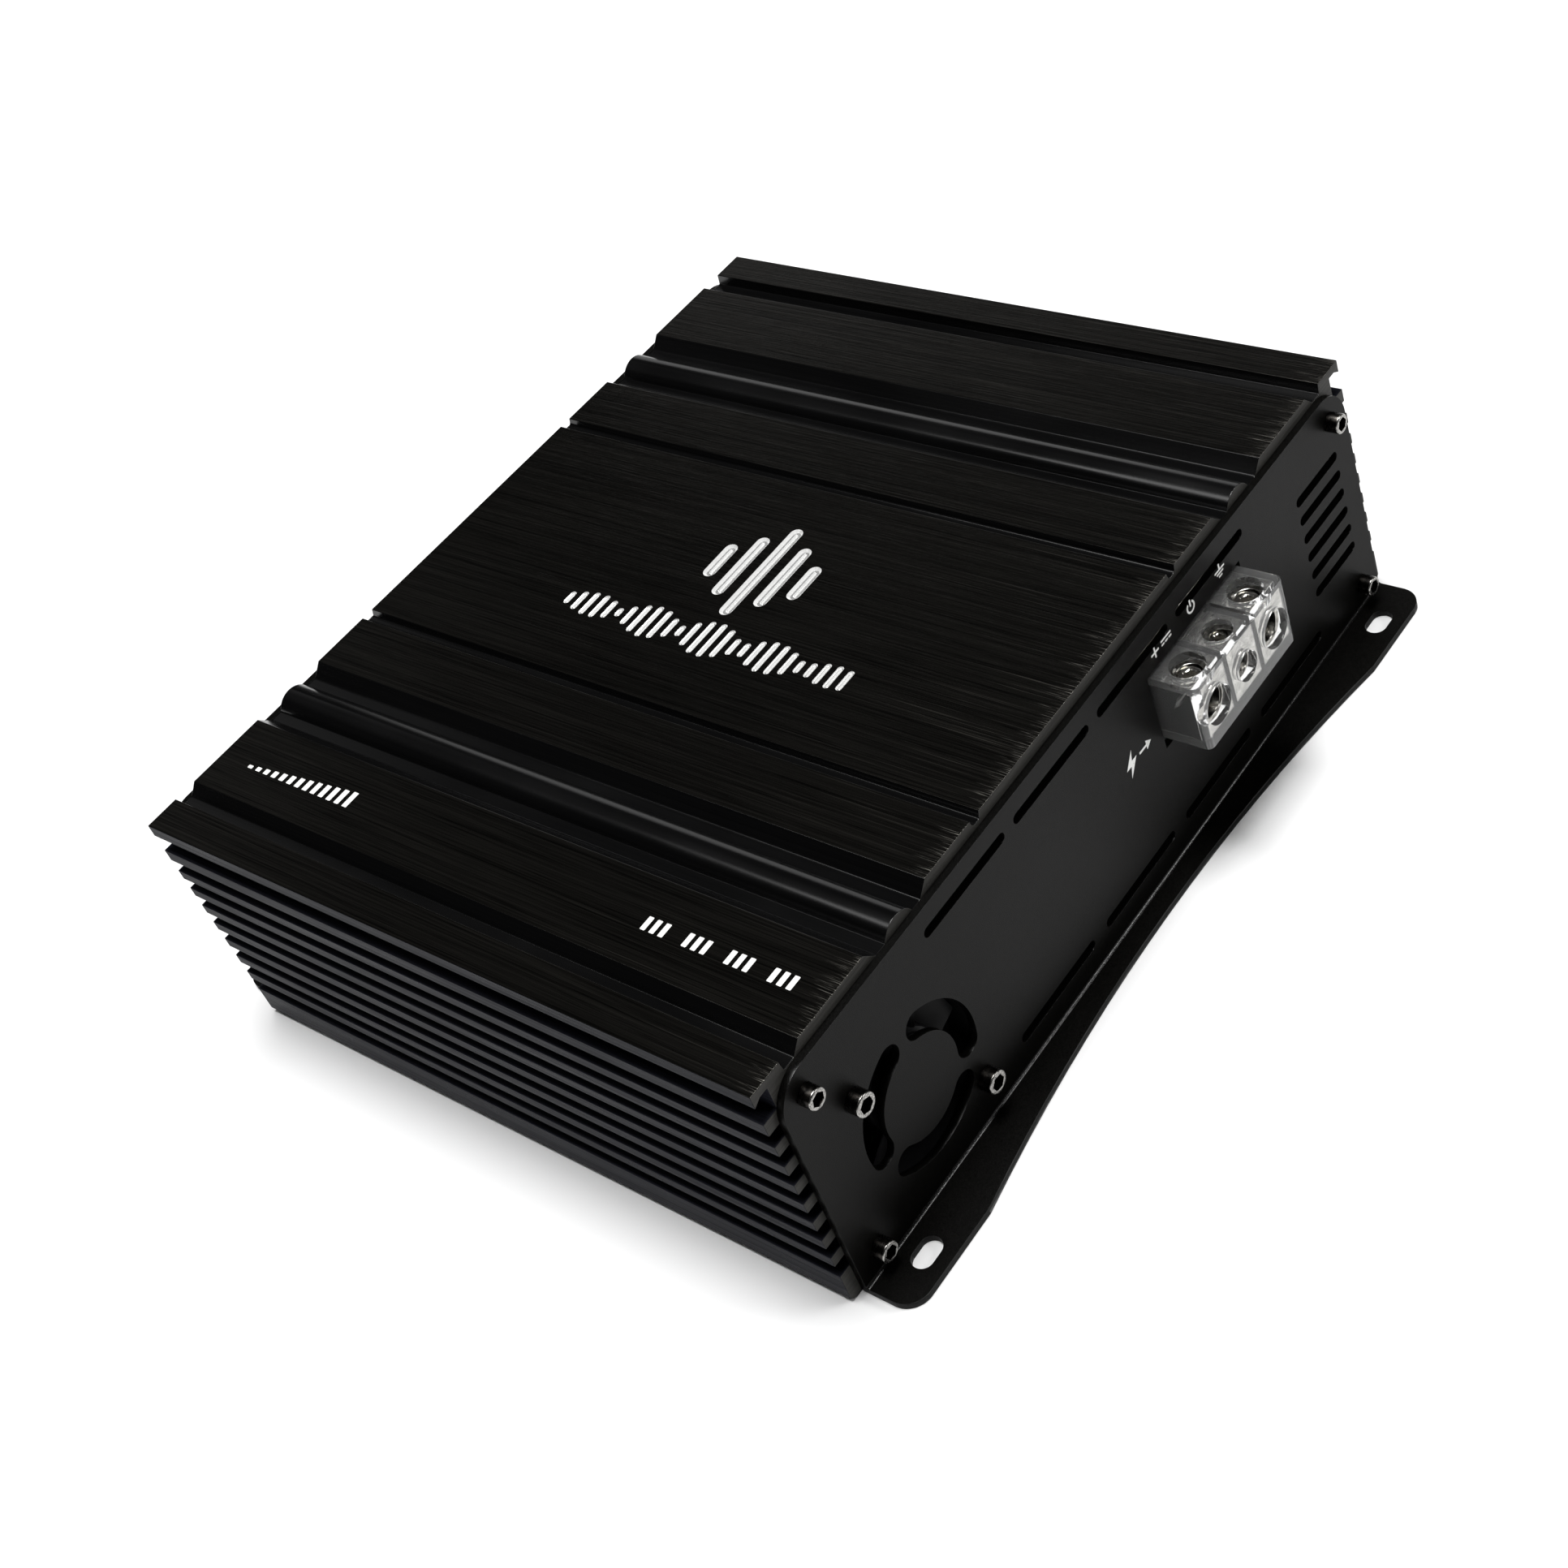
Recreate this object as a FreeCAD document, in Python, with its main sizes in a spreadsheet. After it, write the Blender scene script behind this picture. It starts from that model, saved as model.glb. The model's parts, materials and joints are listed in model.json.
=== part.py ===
import FreeCAD, Part
import math
import os

import Sketcher

# Car amplifier: an extruded heatsink closed by two bent sheet end plates and a bottom cover.
# Frame: +Z up, extrusion along Y, power and fan end at -Y, audio end at +Y, origin at the
# bottom centre, millimetres.

doc = FreeCAD.newDocument("CarAmplifier")
sheet = doc.addObject("Spreadsheet::Sheet", "Sizes")

DRIVING = {
    # whole body
    "body_length": 184.0,
    "body_width": 225.0,
    "body_height": 67.2,
    "sheet_thick": 1.8,
    # top of the extrusion, half widths from the centre line
    "centre_half": 36.4,
    "inner_start": 39.7,
    "inner_end": 55.5,
    "outer_start": 76.5,
    "outer_end": 97.6,
    "strip_start": 103.6,
    "thin_depth": 1.8,
    "recess_depth": 3.1,
    "recess_slope": 3.0,
    "groove_depth": 2.7,
    "groove_slope": 2.5,
    "bead_centre": 65.8,
    "bead_half": 4.65,
    # sides of the extrusion
    "lip_thick": 3.4,
    "lip_hook": 2.2,
    "web_half": 108.3,
    "wall_outer": 105.0,
    "wall_inner": 101.0,
    "first_fin_top": 58.9,
    "first_fin_low": 55.4,
    "next_fin_top": 51.9,
    "fin_pitch": 6.07,
    "fin_thick": 2.9,
    "rail_top": 9.0,
    "rail_low": 0.0,
    "rail_chamfer": 1.5,
    "roof_low": 60.7,
    "boss_half": 98.5,
    "foot_half": 91.0,
    "foot_top": 6.8,
    # bottom cover
    "cover_half": 97.6,
    "cover_thick": 1.5,
    "cover_screw_half": 94.5,
    # end plates
    "plate_half": 109.3,
    "plate_top": 64.2,
    "plate_corner": 9.0,
    "plate_screw_half": 102.5,
    "plate_screw_top": 57.4,
    "plate_screw_low": 7.4,
    "flange_reach": 106.0,
    "flange_middle": 99.1,
    "flange_ear": 82.8,
    "flange_corner": 5.5,
    "flange_slot_half": 96.9,
    "flange_slot_reach": 100.2,
    "flange_slot_length": 8.0,
    "flange_slot_width": 5.2,
    "slot_width": 2.6,
    "top_slot_height": 58.2,
    "top_slot_length": 28.5,
    "top_slot_pitch": 32.0,
    "low_slot_height": 9.1,
    "low_slot_length": 29.0,
    "low_slot_pitch": 34.0,
    "vent_centre": 93.2,
    "vent_length": 19.0,
    "vent_low": 20.2,
    "vent_pitch": 5.5,
    # fan
    "fan_across": -77.2,
    "fan_height": 28.1,
    "fan_size": 40.0,
    "fan_depth": 10.0,
    "fan_bore": 18.9,
    "fan_hole_half": 16.0,
    "guard_outer": 18.6,
    "guard_inner": 12.0,
    "guard_end_angle": 42.0,
    # power terminals
    "power_centre": 39.2,
    "power_width": 37.6,
    "power_pitch": 12.4,
    "power_low": 33.5,
    "power_top": 51.6,
    "power_front": 105.2,
    "wire_height": 41.7,
    "well_reach": 99.3,
    # circuit board
    "board_low": 9.6,
    "board_thick": 1.6,
    "board_half": 97.0,
    "board_front": 79.0,
    "board_rear": 89.0,
    # fasteners
    "screw_core": 1.25,
    "screw_radius": 1.5,
    "screw_clear": 1.7,
    "head_radius": 2.75,
    "plate_head_radius": 2.4,
    "head_height": 3.3,
    # audio end
    "knob_height": 42.2,
    "switch_height": 25.2,
    "speaker_centre": -56.0,
    "speaker_width": 76.0,
    "speaker_low": 28.2,
    "speaker_top": 46.2,
}

for row, (alias, value) in enumerate(DRIVING.items(), start=1):
    sheet.set(f"A{row}", alias)
    sheet.set(f"B{row}", str(value))
    sheet.setAlias(f"B{row}", alias)
doc.recompute()


class Size:
    """A number together with the sheet expression that gives it."""

    def __init__(self, value, text):
        self.value = value
        self.text = text

    def __add__(self, other):
        other = sized(other)
        return Size(self.value + other.value, f"({self.text} + {other.text})")

    def __radd__(self, other):
        return sized(other) + self

    def __sub__(self, other):
        other = sized(other)
        return Size(self.value - other.value, f"({self.text} - {other.text})")

    def __rsub__(self, other):
        return sized(other) - self

    def __mul__(self, other):
        other = sized(other)
        return Size(self.value * other.value, f"({self.text} * {other.text})")

    def __rmul__(self, other):
        return sized(other) * self

    def __truediv__(self, other):
        other = sized(other)
        return Size(self.value / other.value, f"({self.text} / {other.text})")

    def __neg__(self):
        return Size(-self.value, f"(0 - {self.text})")


def sized(number):
    """Any number as a Size."""
    if isinstance(number, Size):
        return number
    return Size(float(number), f"({float(number)})")


class Driving:
    """The cells of the sheet as Sizes, by alias."""

    def __init__(self):
        for alias in DRIVING:
            setattr(self, alias, Size(float(sheet.get(alias)), f"Sizes.{alias}"))


S = Driving()
HALF_LENGTH = S.body_length / 2
PLATE_OUT = HALF_LENGTH + S.sheet_thick
BOARD_TOP = S.board_low + S.board_thick
ROUND_AXES = {
    "X": FreeCAD.Rotation(FreeCAD.Vector(0, 1, 0), 90),
    "Y": FreeCAD.Rotation(FreeCAD.Vector(1, 0, 0), -90),
    "Z": FreeCAD.Rotation(),
}
nodes = {}


def keep(name, obj):
    """Register obj as the finished sub-part called name."""
    obj.Label = name
    nodes[name] = obj
    return obj


def bind(obj, prop, size):
    """Set a property of obj from a Size and tie it to the sheet."""
    if isinstance(size, Size):
        obj.setExpression(prop, size.text)
    else:
        setattr(obj, prop, size)


def place(obj, x, y, z, rotation=None):
    """Put obj at x, y, z and tie the place to the sheet."""
    position = [sized(x), sized(y), sized(z)]
    obj.Placement = FreeCAD.Placement(
        FreeCAD.Vector(*(part.value for part in position)), rotation or FreeCAD.Rotation()
    )
    for axis, part in zip("xyz", position):
        if "Sizes." in part.text:
            obj.setExpression(f"Placement.Base.{axis}", part.text)
    return obj


# Part primitives and booleans

def box(x_range, y_range, z_range):
    """A box between three pairs of limits."""
    solid = doc.addObject("Part::Box", "block")
    for prop, (low, high) in zip(("Length", "Width", "Height"), (x_range, y_range, z_range)):
        bind(solid, prop, sized(high) - low)
    return place(solid, x_range[0], y_range[0], z_range[0])


def rod(radius, length, start, axis="Z"):
    """A cylinder from start along the positive axis."""
    solid = doc.addObject("Part::Cylinder", "rod")
    bind(solid, "Radius", sized(radius))
    bind(solid, "Height", sized(length))
    return place(solid, *start, ROUND_AXES[axis])


def cone(first_radius, second_radius, length, start, axis="Z"):
    """A cone from start along the positive axis."""
    solid = doc.addObject("Part::Cone", "cone")
    bind(solid, "Radius1", sized(first_radius))
    bind(solid, "Radius2", sized(second_radius))
    bind(solid, "Height", sized(length))
    return place(solid, *start, ROUND_AXES[axis])


def hexagon(corner_radius, length, start, axis="Z"):
    """A six-sided prism from start along the positive axis."""
    solid = doc.addObject("Part::Prism", "hexagon")
    solid.Polygon = 6
    bind(solid, "Circumradius", sized(corner_radius))
    bind(solid, "Height", sized(length))
    return place(solid, *start, ROUND_AXES[axis])


def ring(radius, tube_radius, centre, axis="Z"):
    """A torus round the axis."""
    solid = doc.addObject("Part::Torus", "ring")
    bind(solid, "Radius1", sized(radius))
    bind(solid, "Radius2", sized(tube_radius))
    return place(solid, *centre, ROUND_AXES[axis])


def joined(*solids):
    """Solids fused into one."""
    if len(solids) == 1:
        return solids[0]
    fusion = doc.addObject("Part::MultiFuse", "joined")
    fusion.Shapes = list(solids)
    return fusion


def without(base, *tools):
    """Base with the tools cut away."""
    cut = doc.addObject("Part::Cut", "trimmed")
    cut.Base = base
    cut.Tool = joined(*tools)
    return cut


def common(first, second):
    """The volume that two solids share."""
    shared = doc.addObject("Part::MultiCommon", "shared")
    shared.Shapes = [first, second]
    return shared


def together(solids):
    """Separate solids held as one sub-part."""
    group = doc.addObject("Part::Compound", "group")
    group.Links = list(solids)
    return group


# PartDesign bodies

def new_body(name):
    """An empty PartDesign body that becomes the sub-part called name."""
    return keep(name, doc.addObject("PartDesign::Body", f"{name}_body"))


def new_sketch(body, plane, offset=(0, 0, 0)):
    """A sketch on one of the body's own origin planes, moved by offset in sketch axes."""
    sketch = body.newObject("Sketcher::SketchObject", "outline")
    support = [part for part in body.Origin.OriginFeatures if part.Role == plane][0]
    sketch.AttachmentSupport = [(support, "")]
    sketch.MapMode = "FlatFace"
    shift = [sized(part) for part in offset]
    sketch.AttachmentOffset = FreeCAD.Placement(
        FreeCAD.Vector(*(part.value for part in shift)), FreeCAD.Rotation()
    )
    for axis, part in zip("xyz", shift):
        if "Sizes." in part.text:
            sketch.setExpression(f"AttachmentOffset.Base.{axis}", part.text)
    return sketch


def fix_point(sketch, geometry, point, position):
    """Hold one point of a sketch at a position, each direction tied to the sheet."""
    for kind, part in zip(("DistanceX", "DistanceY"), position):
        part = sized(part)
        index = sketch.addConstraint(
            Sketcher.Constraint(kind, -1, 1, geometry, point, part.value)
        )
        if "Sizes." in part.text:
            sketch.setExpression(f"Constraints[{index}]", part.text)


def flat(position):
    """A pair of Sizes as a plain vector."""
    return FreeCAD.Vector(sized(position[0]).value, sized(position[1]).value, 0)


def outline(sketch, corners):
    """A closed outline. A corner is (x, y), or (x, y, arc middle) where an arc leads to the next."""
    count = len(corners)
    starts = []
    ends = []
    for number, corner in enumerate(corners):
        following = corners[(number + 1) % count]
        if len(corner) == 3:
            edge = Part.Arc(flat(corner), flat(corner[2]), flat(following))
        else:
            edge = Part.LineSegment(flat(corner), flat(following))
        index = sketch.addGeometry(edge, False)
        turned = sketch.getPoint(index, 1).distanceToPoint(flat(corner)) > 1e-4
        starts.append((index, 2 if turned else 1))
        ends.append((index, 1 if turned else 2))
        if len(corner) == 3:
            middle = sketch.addGeometry(Part.Point(flat(corner[2])), True)
            fix_point(sketch, middle, 1, corner[2])
            sketch.addConstraint(Sketcher.Constraint("PointOnObject", middle, 1, index))
    for number, corner in enumerate(corners):
        following = (number + 1) % count
        sketch.addConstraint(Sketcher.Constraint("Coincident", *ends[number], *starts[following]))
        fix_point(sketch, *starts[number], corner[:2])


def circle(sketch, radius, centre=(0, 0)):
    """A circle with its radius and centre tied to the sheet."""
    radius = sized(radius)
    shape = Part.Circle(flat(centre), FreeCAD.Vector(0, 0, 1), radius.value)
    index = sketch.addGeometry(shape, False)
    fix_point(sketch, index, 3, centre)
    limit = sketch.addConstraint(Sketcher.Constraint("Radius", index, radius.value))
    if "Sizes." in radius.text:
        sketch.setExpression(f"Constraints[{limit}]", radius.text)


def straight_slot(sketch, length, width, centre=(0, 0)):
    """A slot with round ends, long in the sketch's first direction."""
    reach = (sized(length) - width) / 2
    half = sized(width) / 2
    x, y = sized(centre[0]), sized(centre[1])
    outline(sketch, [
        (x - reach, y - half),
        (x + reach, y - half, (x + reach + half, y)),
        (x + reach, y + half),
        (x - reach, y + half, (x - reach - half, y)),
    ])


def pad(body, sketch, length, midplane=False, reverse=False):
    """Add a sketch's area to the body."""
    feature = body.newObject("PartDesign::Pad", "pad")
    feature.Profile = sketch
    bind(feature, "Length", sized(length))
    feature.Midplane = midplane
    feature.Reversed = reverse
    return feature


def pocket(body, sketch, length, reverse=False):
    """Cut a sketch's area from the body and make sure that it removed material."""
    doc.recompute()
    before = body.Shape.Volume
    feature = body.newObject("PartDesign::Pocket", "pocket")
    feature.Profile = sketch
    bind(feature, "Length", sized(length))
    feature.Reversed = reverse
    doc.recompute()
    if body.Shape.Volume > before - 0.01:
        raise RuntimeError(f"a pocket in {body.Label} removed nothing")
    return feature


def repeat_along(body, feature, sketch, pitch, count, axis="H_Axis"):
    """Repeat a feature in a row."""
    pattern = body.newObject("PartDesign::LinearPattern", "row")
    pattern.Originals = [feature]
    pattern.Direction = (sketch, [axis])
    bind(pattern, "Length", sized(pitch) * (count - 1))
    pattern.Occurrences = count
    body.Tip = pattern
    return pattern


def round_edges(body, radius, wanted):
    """Fillet the edges of the body for which wanted(edge) is true."""
    doc.recompute()
    base = body.Tip
    names = [
        f"Edge{number}" for number, edge in enumerate(base.Shape.Edges, start=1) if wanted(edge)
    ]
    feature = body.newObject("PartDesign::Fillet", "rounding")
    feature.Base = (base, names)
    bind(feature, "Radius", sized(radius))
    return feature


# Fasteners

def socket_screw(x, y, z, axis, outward, shank_length, head_radius=S.head_radius):
    """A socket head screw whose head starts at x, y, z and points outward (+1 or -1) on axis."""
    place_on = {"X": 0, "Y": 1, "Z": 2}[axis]

    def start(distance, span):
        """Lowest end of a span that begins at a distance outward from the seat."""
        low = distance if outward > 0 else -distance - sized(span)
        point = [sized(x), sized(y), sized(z)]
        point[place_on] = point[place_on] + low
        return point

    head = rod(head_radius, S.head_height, start(0, S.head_height), axis)
    shank = rod(S.screw_core, sized(shank_length), start(-sized(shank_length), shank_length), axis)
    key = hexagon(1.45, 1.8, start(S.head_height - 1.8, 1.8), axis)
    return without(joined(head, shank), key)


def countersunk_screw(x, y, z, shank_length):
    """A countersunk screw driven upwards, its flat head level with z."""
    head = cone(2.55, 1.2, 1.35, (x, y, z))
    shank = rod(1.2, shank_length, (x, y, z))
    key = hexagon(1.1, 0.9, (x, y, sized(z) - 0.01))
    return without(joined(head, shank), key)


def countersunk_hole(x, y, z, depth):
    """The hole that a countersunk screw sits in."""
    return joined(cone(2.65, 1.25, 1.4, (x, y, z)), rod(1.25, depth, (x, y, z)))


# Extruded heatsink

def top_profile():
    """Half of the top outline, from the centre line to the lower edge of the side lip."""
    top = S.body_height
    floor = top - S.recess_depth
    valley = top - S.groove_depth
    return [
        (0, top),
        (S.centre_half, top),
        (S.centre_half + 0.5, top - S.thin_depth),
        (S.inner_start - 0.5, top - S.thin_depth),
        (S.inner_start, top),
        (S.inner_end, top),
        (S.inner_end + S.recess_slope, floor),
        (S.bead_centre - S.bead_half, floor, (S.bead_centre, top)),
        (S.bead_centre + S.bead_half, floor),
        (S.outer_start - S.recess_slope, floor),
        (S.outer_start, top),
        (S.outer_end, top),
        (S.outer_end + S.groove_slope, valley),
        (S.strip_start - 0.4, valley),
        (S.strip_start, top),
        (S.body_width / 2, top),
        (S.body_width / 2, top - S.lip_thick),
        (S.body_width / 2 - 2, top - S.lip_hook),
        (S.web_half, top - S.lip_hook),
    ]


def fin_profile():
    """The side fins and the bottom rail, from the web under the lip down to the cover seat."""
    tip = S.body_width / 2
    points = [
        (S.web_half, S.first_fin_top),
        (tip, S.first_fin_top),
        (tip, S.first_fin_low),
        (S.wall_outer, S.first_fin_low),
    ]
    for number in range(7):
        fin_top = S.next_fin_top - S.fin_pitch * number
        points += [
            (S.wall_outer, fin_top),
            (tip, fin_top),
            (tip, fin_top - S.fin_thick),
            (S.wall_outer, fin_top - S.fin_thick),
        ]
    points += [
        (S.wall_outer, S.rail_top),
        (tip, S.rail_top),
        (tip, S.rail_low + S.rail_chamfer),
        (tip - S.rail_chamfer, S.rail_low),
    ]
    return points


def inner_profile():
    """The inside of the extrusion, from the cover seat up to the roof."""
    seat = S.rail_low + S.cover_thick
    return [
        (S.cover_half + 0.3, S.rail_low),
        (S.cover_half + 0.3, seat),
        (S.foot_half, seat),
        (S.foot_half, S.foot_top),
        (S.boss_half, S.foot_top),
        (S.boss_half, S.foot_top + 4.4),
        (S.wall_inner, S.foot_top + 6.9),
        (S.wall_inner, S.roof_low - 8),
        (S.boss_half, S.roof_low - 5.5),
        (S.boss_half, S.roof_low - 2),
        (S.boss_half - 2, S.roof_low),
        (0, S.roof_low),
    ]


CLAMP_SCREW_PLACES = [-53.5, -19.5, 14.5, 48.5]
CLAMP_HEIGHT = 26.2
COVER_SCREW_PLACES = [-80.0, -27.0, 27.0, 80.0]


def make_heatsink():
    body = new_body("heatsink_shell")
    profile = new_sketch(body, "XZ_Plane")
    outline(profile, top_profile() + fin_profile() + inner_profile())
    half = pad(body, profile, S.body_length, midplane=True)
    mirror = body.newObject("PartDesign::Mirrored", "other_half")
    mirror.Originals = [half]
    mirror.MirrorPlane = (profile, ["V_Axis"])
    body.Tip = mirror
    for facing in (1, -1):
        ends = new_sketch(body, "XZ_Plane", (0, 0, HALF_LENGTH * facing))
        for side in (1, -1):
            for height in (S.plate_screw_low, S.plate_screw_top):
                circle(ends, S.screw_core, (S.plate_screw_half * side, height))
        pocket(body, ends, 13.0, reverse=facing < 0)
        walls = new_sketch(body, "YZ_Plane", (0, 0, S.wall_inner * facing))
        for place_y in CLAMP_SCREW_PLACES:
            circle(walls, S.screw_core, (place_y, CLAMP_HEIGHT))
        pocket(body, walls, 3.0, reverse=facing > 0)
    feet = new_sketch(body, "XY_Plane", (0, 0, S.rail_low + S.cover_thick))
    for side in (1, -1):
        for place_y in COVER_SCREW_PLACES:
            circle(feet, 1.2, (S.cover_screw_half * side, place_y))
    pocket(body, feet, 4.5, reverse=True)


def make_cover():
    places = [
        (S.cover_screw_half * side, place_y)
        for side in (1, -1)
        for place_y in COVER_SCREW_PLACES
    ]
    half = S.cover_half
    length = HALF_LENGTH - 0.2
    plate = box((-half, half), (-length, length), (S.rail_low, S.rail_low + S.cover_thick))
    holes = [countersunk_hole(x, y, S.rail_low, S.cover_thick) for x, y in places]
    keep("bottom_cover", without(plate, *holes))
    keep("cover_screws", together(countersunk_screw(x, y, S.rail_low, 5.8) for x, y in places))


# End plates: each a bent sheet with a wall and an outward mounting flange

def plate_wall_outline():
    """The upright sheet, with round upper corners."""
    half = S.plate_half
    top = S.plate_top
    corner = S.plate_corner
    arc_middle = corner * (1 - math.sqrt(0.5))
    return [
        (-half, 0),
        (half, 0),
        (half, top - corner, (half - arc_middle, top - arc_middle)),
        (half - corner, top),
        (-half + corner, top, (-half + arc_middle, top - arc_middle)),
        (-half, top - corner),
    ]


def flange_outline(facing):
    """The foot: a shallow arc between two ears with round corners, facing -Y (-1) or +Y (+1)."""
    half = S.plate_half
    reach = S.flange_reach
    corner = S.flange_corner
    arc_middle = corner * (1 - math.sqrt(0.5))
    return [
        (-half, HALF_LENGTH * facing),
        (half, HALF_LENGTH * facing),
        (half, (reach - corner) * facing, (half - arc_middle, (reach - arc_middle) * facing)),
        (half - corner, reach * facing),
        (S.flange_ear, reach * facing, (0, S.flange_middle * facing)),
        (-S.flange_ear, reach * facing),
        (-half + corner, reach * facing, (-half + arc_middle, (reach - arc_middle) * facing)),
        (-half, (reach - corner) * facing),
    ]


def is_bend(edge):
    """True for the two long edges where the foot meets the wall."""
    bounds = edge.BoundBox
    if bounds.XLength < 2 * S.plate_half.value - 1:
        return False
    outside = abs(abs(bounds.YMin) - PLATE_OUT.value) < 0.01
    inside = abs(abs(bounds.YMin) - HALF_LENGTH.value) < 0.01
    if inside:
        return bounds.ZMax < 0.01
    return outside and abs(bounds.ZMin - S.sheet_thick.value) < 0.01


def end_plate(name, facing):
    """The shared shape of both end plates. Returns the body and a function that cuts it."""
    body = new_body(name)
    wall = new_sketch(body, "XZ_Plane", (0, 0, -HALF_LENGTH * facing))
    outline(wall, plate_wall_outline())
    for side in (1, -1):
        for height in (S.plate_screw_low, S.plate_screw_top):
            circle(wall, S.screw_clear, (S.plate_screw_half * side, height))
    pad(body, wall, S.sheet_thick, reverse=facing > 0)
    foot = new_sketch(body, "XY_Plane")
    outline(foot, flange_outline(facing))
    for side in (1, -1):
        centre = (S.flange_slot_half * side, S.flange_slot_reach * facing)
        straight_slot(foot, S.flange_slot_length, S.flange_slot_width, centre)
    pad(body, foot, S.sheet_thick)
    round_edges(body, 0.8, is_bend)

    def cut(draw, repeat=None, across=0, height=0):
        sketch = new_sketch(body, "XZ_Plane", (across, height, -PLATE_OUT * facing))
        draw(sketch)
        feature = pocket(body, sketch, S.sheet_thick, reverse=facing > 0)
        if repeat:
            repeat_along(body, feature, sketch, *repeat)
        return feature, sketch

    cut(
        lambda sketch: straight_slot(sketch, S.top_slot_length, S.slot_width),
        (S.top_slot_pitch, 4),
        S.top_slot_pitch * -1.5,
        S.top_slot_height,
    )
    return body, cut


def curved_slot(sketch, inner, outer, half_angle, turn):
    """A slot along an arc round the sketch origin, with round ends."""
    mid = (inner + outer) / 2
    end = (outer - inner) / 2

    def on(radius, angle):
        direction = math.radians(turn + angle)
        return (radius * math.cos(direction), radius * math.sin(direction))

    def past(angle, sign):
        direction = math.radians(turn + angle)
        middle = on(mid, angle)
        return (middle[0] - end * math.sin(direction) * sign,
                middle[1] + end * math.cos(direction) * sign)

    angle = half_angle.value
    outline(sketch, [
        on(inner, -angle) + (past(-angle, -1),),
        on(outer, -angle) + (on(outer, 0),),
        on(outer, angle) + (past(angle, 1),),
        on(inner, angle) + (on(inner, 0),),
    ])


def make_front_plate():
    body, cut = end_plate("front_end_plate", -1)
    cut(
        lambda sketch: straight_slot(sketch, S.low_slot_length, S.slot_width),
        (S.low_slot_pitch, 4),
        -S.low_slot_pitch,
        S.low_slot_height,
    )
    cut(
        lambda sketch: straight_slot(sketch, S.vent_length, S.slot_width),
        (S.vent_pitch, 6, "V_Axis"),
        S.vent_centre,
        S.vent_low,
    )

    def fan_screw_holes(sketch):
        for side in (1, -1):
            circle(sketch, S.screw_clear, (-S.fan_hole_half * side, S.fan_hole_half * side))

    cut(fan_screw_holes, None, S.fan_across, S.fan_height)
    opening, sketch = cut(
        lambda sketch: curved_slot(sketch, S.guard_inner, S.guard_outer, S.guard_end_angle, 30),
        None,
        S.fan_across,
        S.fan_height,
    )
    spin = body.newObject("PartDesign::PolarPattern", "guard_openings")
    spin.Originals = [opening]
    spin.Axis = (sketch, ["N_Axis"])
    spin.Angle = 360
    spin.Occurrences = 3
    body.Tip = spin

    def terminal_window(sketch):
        half = S.power_width / 2 + 0.9
        low = S.power_low - 2.4
        high = S.power_top + 0.7
        outline(sketch, [(-half, low), (half, low), (half, high), (-half, high)])

    cut(terminal_window, None, S.power_centre, 0)
    screws = [
        socket_screw(S.plate_screw_half * side, -PLATE_OUT, height, "Y", -1, 12, S.plate_head_radius)
        for side in (1, -1)
        for height in (S.plate_screw_low, S.plate_screw_top)
    ]
    keep("front_plate_screws", together(screws))


def make_rear_plate():
    body, cut = end_plate("rear_end_plate", 1)
    for across in RCA_COLUMNS:
        for height in RCA_ROWS:
            cut(lambda sketch: circle(sketch, 5.2), None, across, height)
    for across in KNOB_PLACES.values():
        cut(lambda sketch: circle(sketch, 3.4), None, across, S.knob_height)
    for across in SWITCH_PLACES.values():
        cut(lambda sketch: straight_slot(sketch, 10.4, 3.6), None, across, S.switch_height)
    cut(lambda sketch: circle(sketch, 1.6), None, LIGHT_ACROSS, S.knob_height)

    def speaker_window(sketch):
        half = S.speaker_width / 2 + 0.4
        low = S.speaker_low - 0.4
        high = S.speaker_top + 0.4
        outline(sketch, [(-half, low), (half, low), (half, high), (-half, high)])

    cut(speaker_window, None, S.speaker_centre, 0)
    screws = [
        socket_screw(S.plate_screw_half * side, PLATE_OUT, height, "Y", 1, 12, S.plate_head_radius)
        for side in (1, -1)
        for height in (S.plate_screw_low, S.plate_screw_top)
    ]
    keep("rear_plate_screws", together(screws))


# Cooling fan behind the front plate

def fan_point(across, reach, height):
    """A point given from the fan's centre, reach measured inward from the plate."""
    return (S.fan_across + across, reach - HALF_LENGTH, S.fan_height + height)


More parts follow.
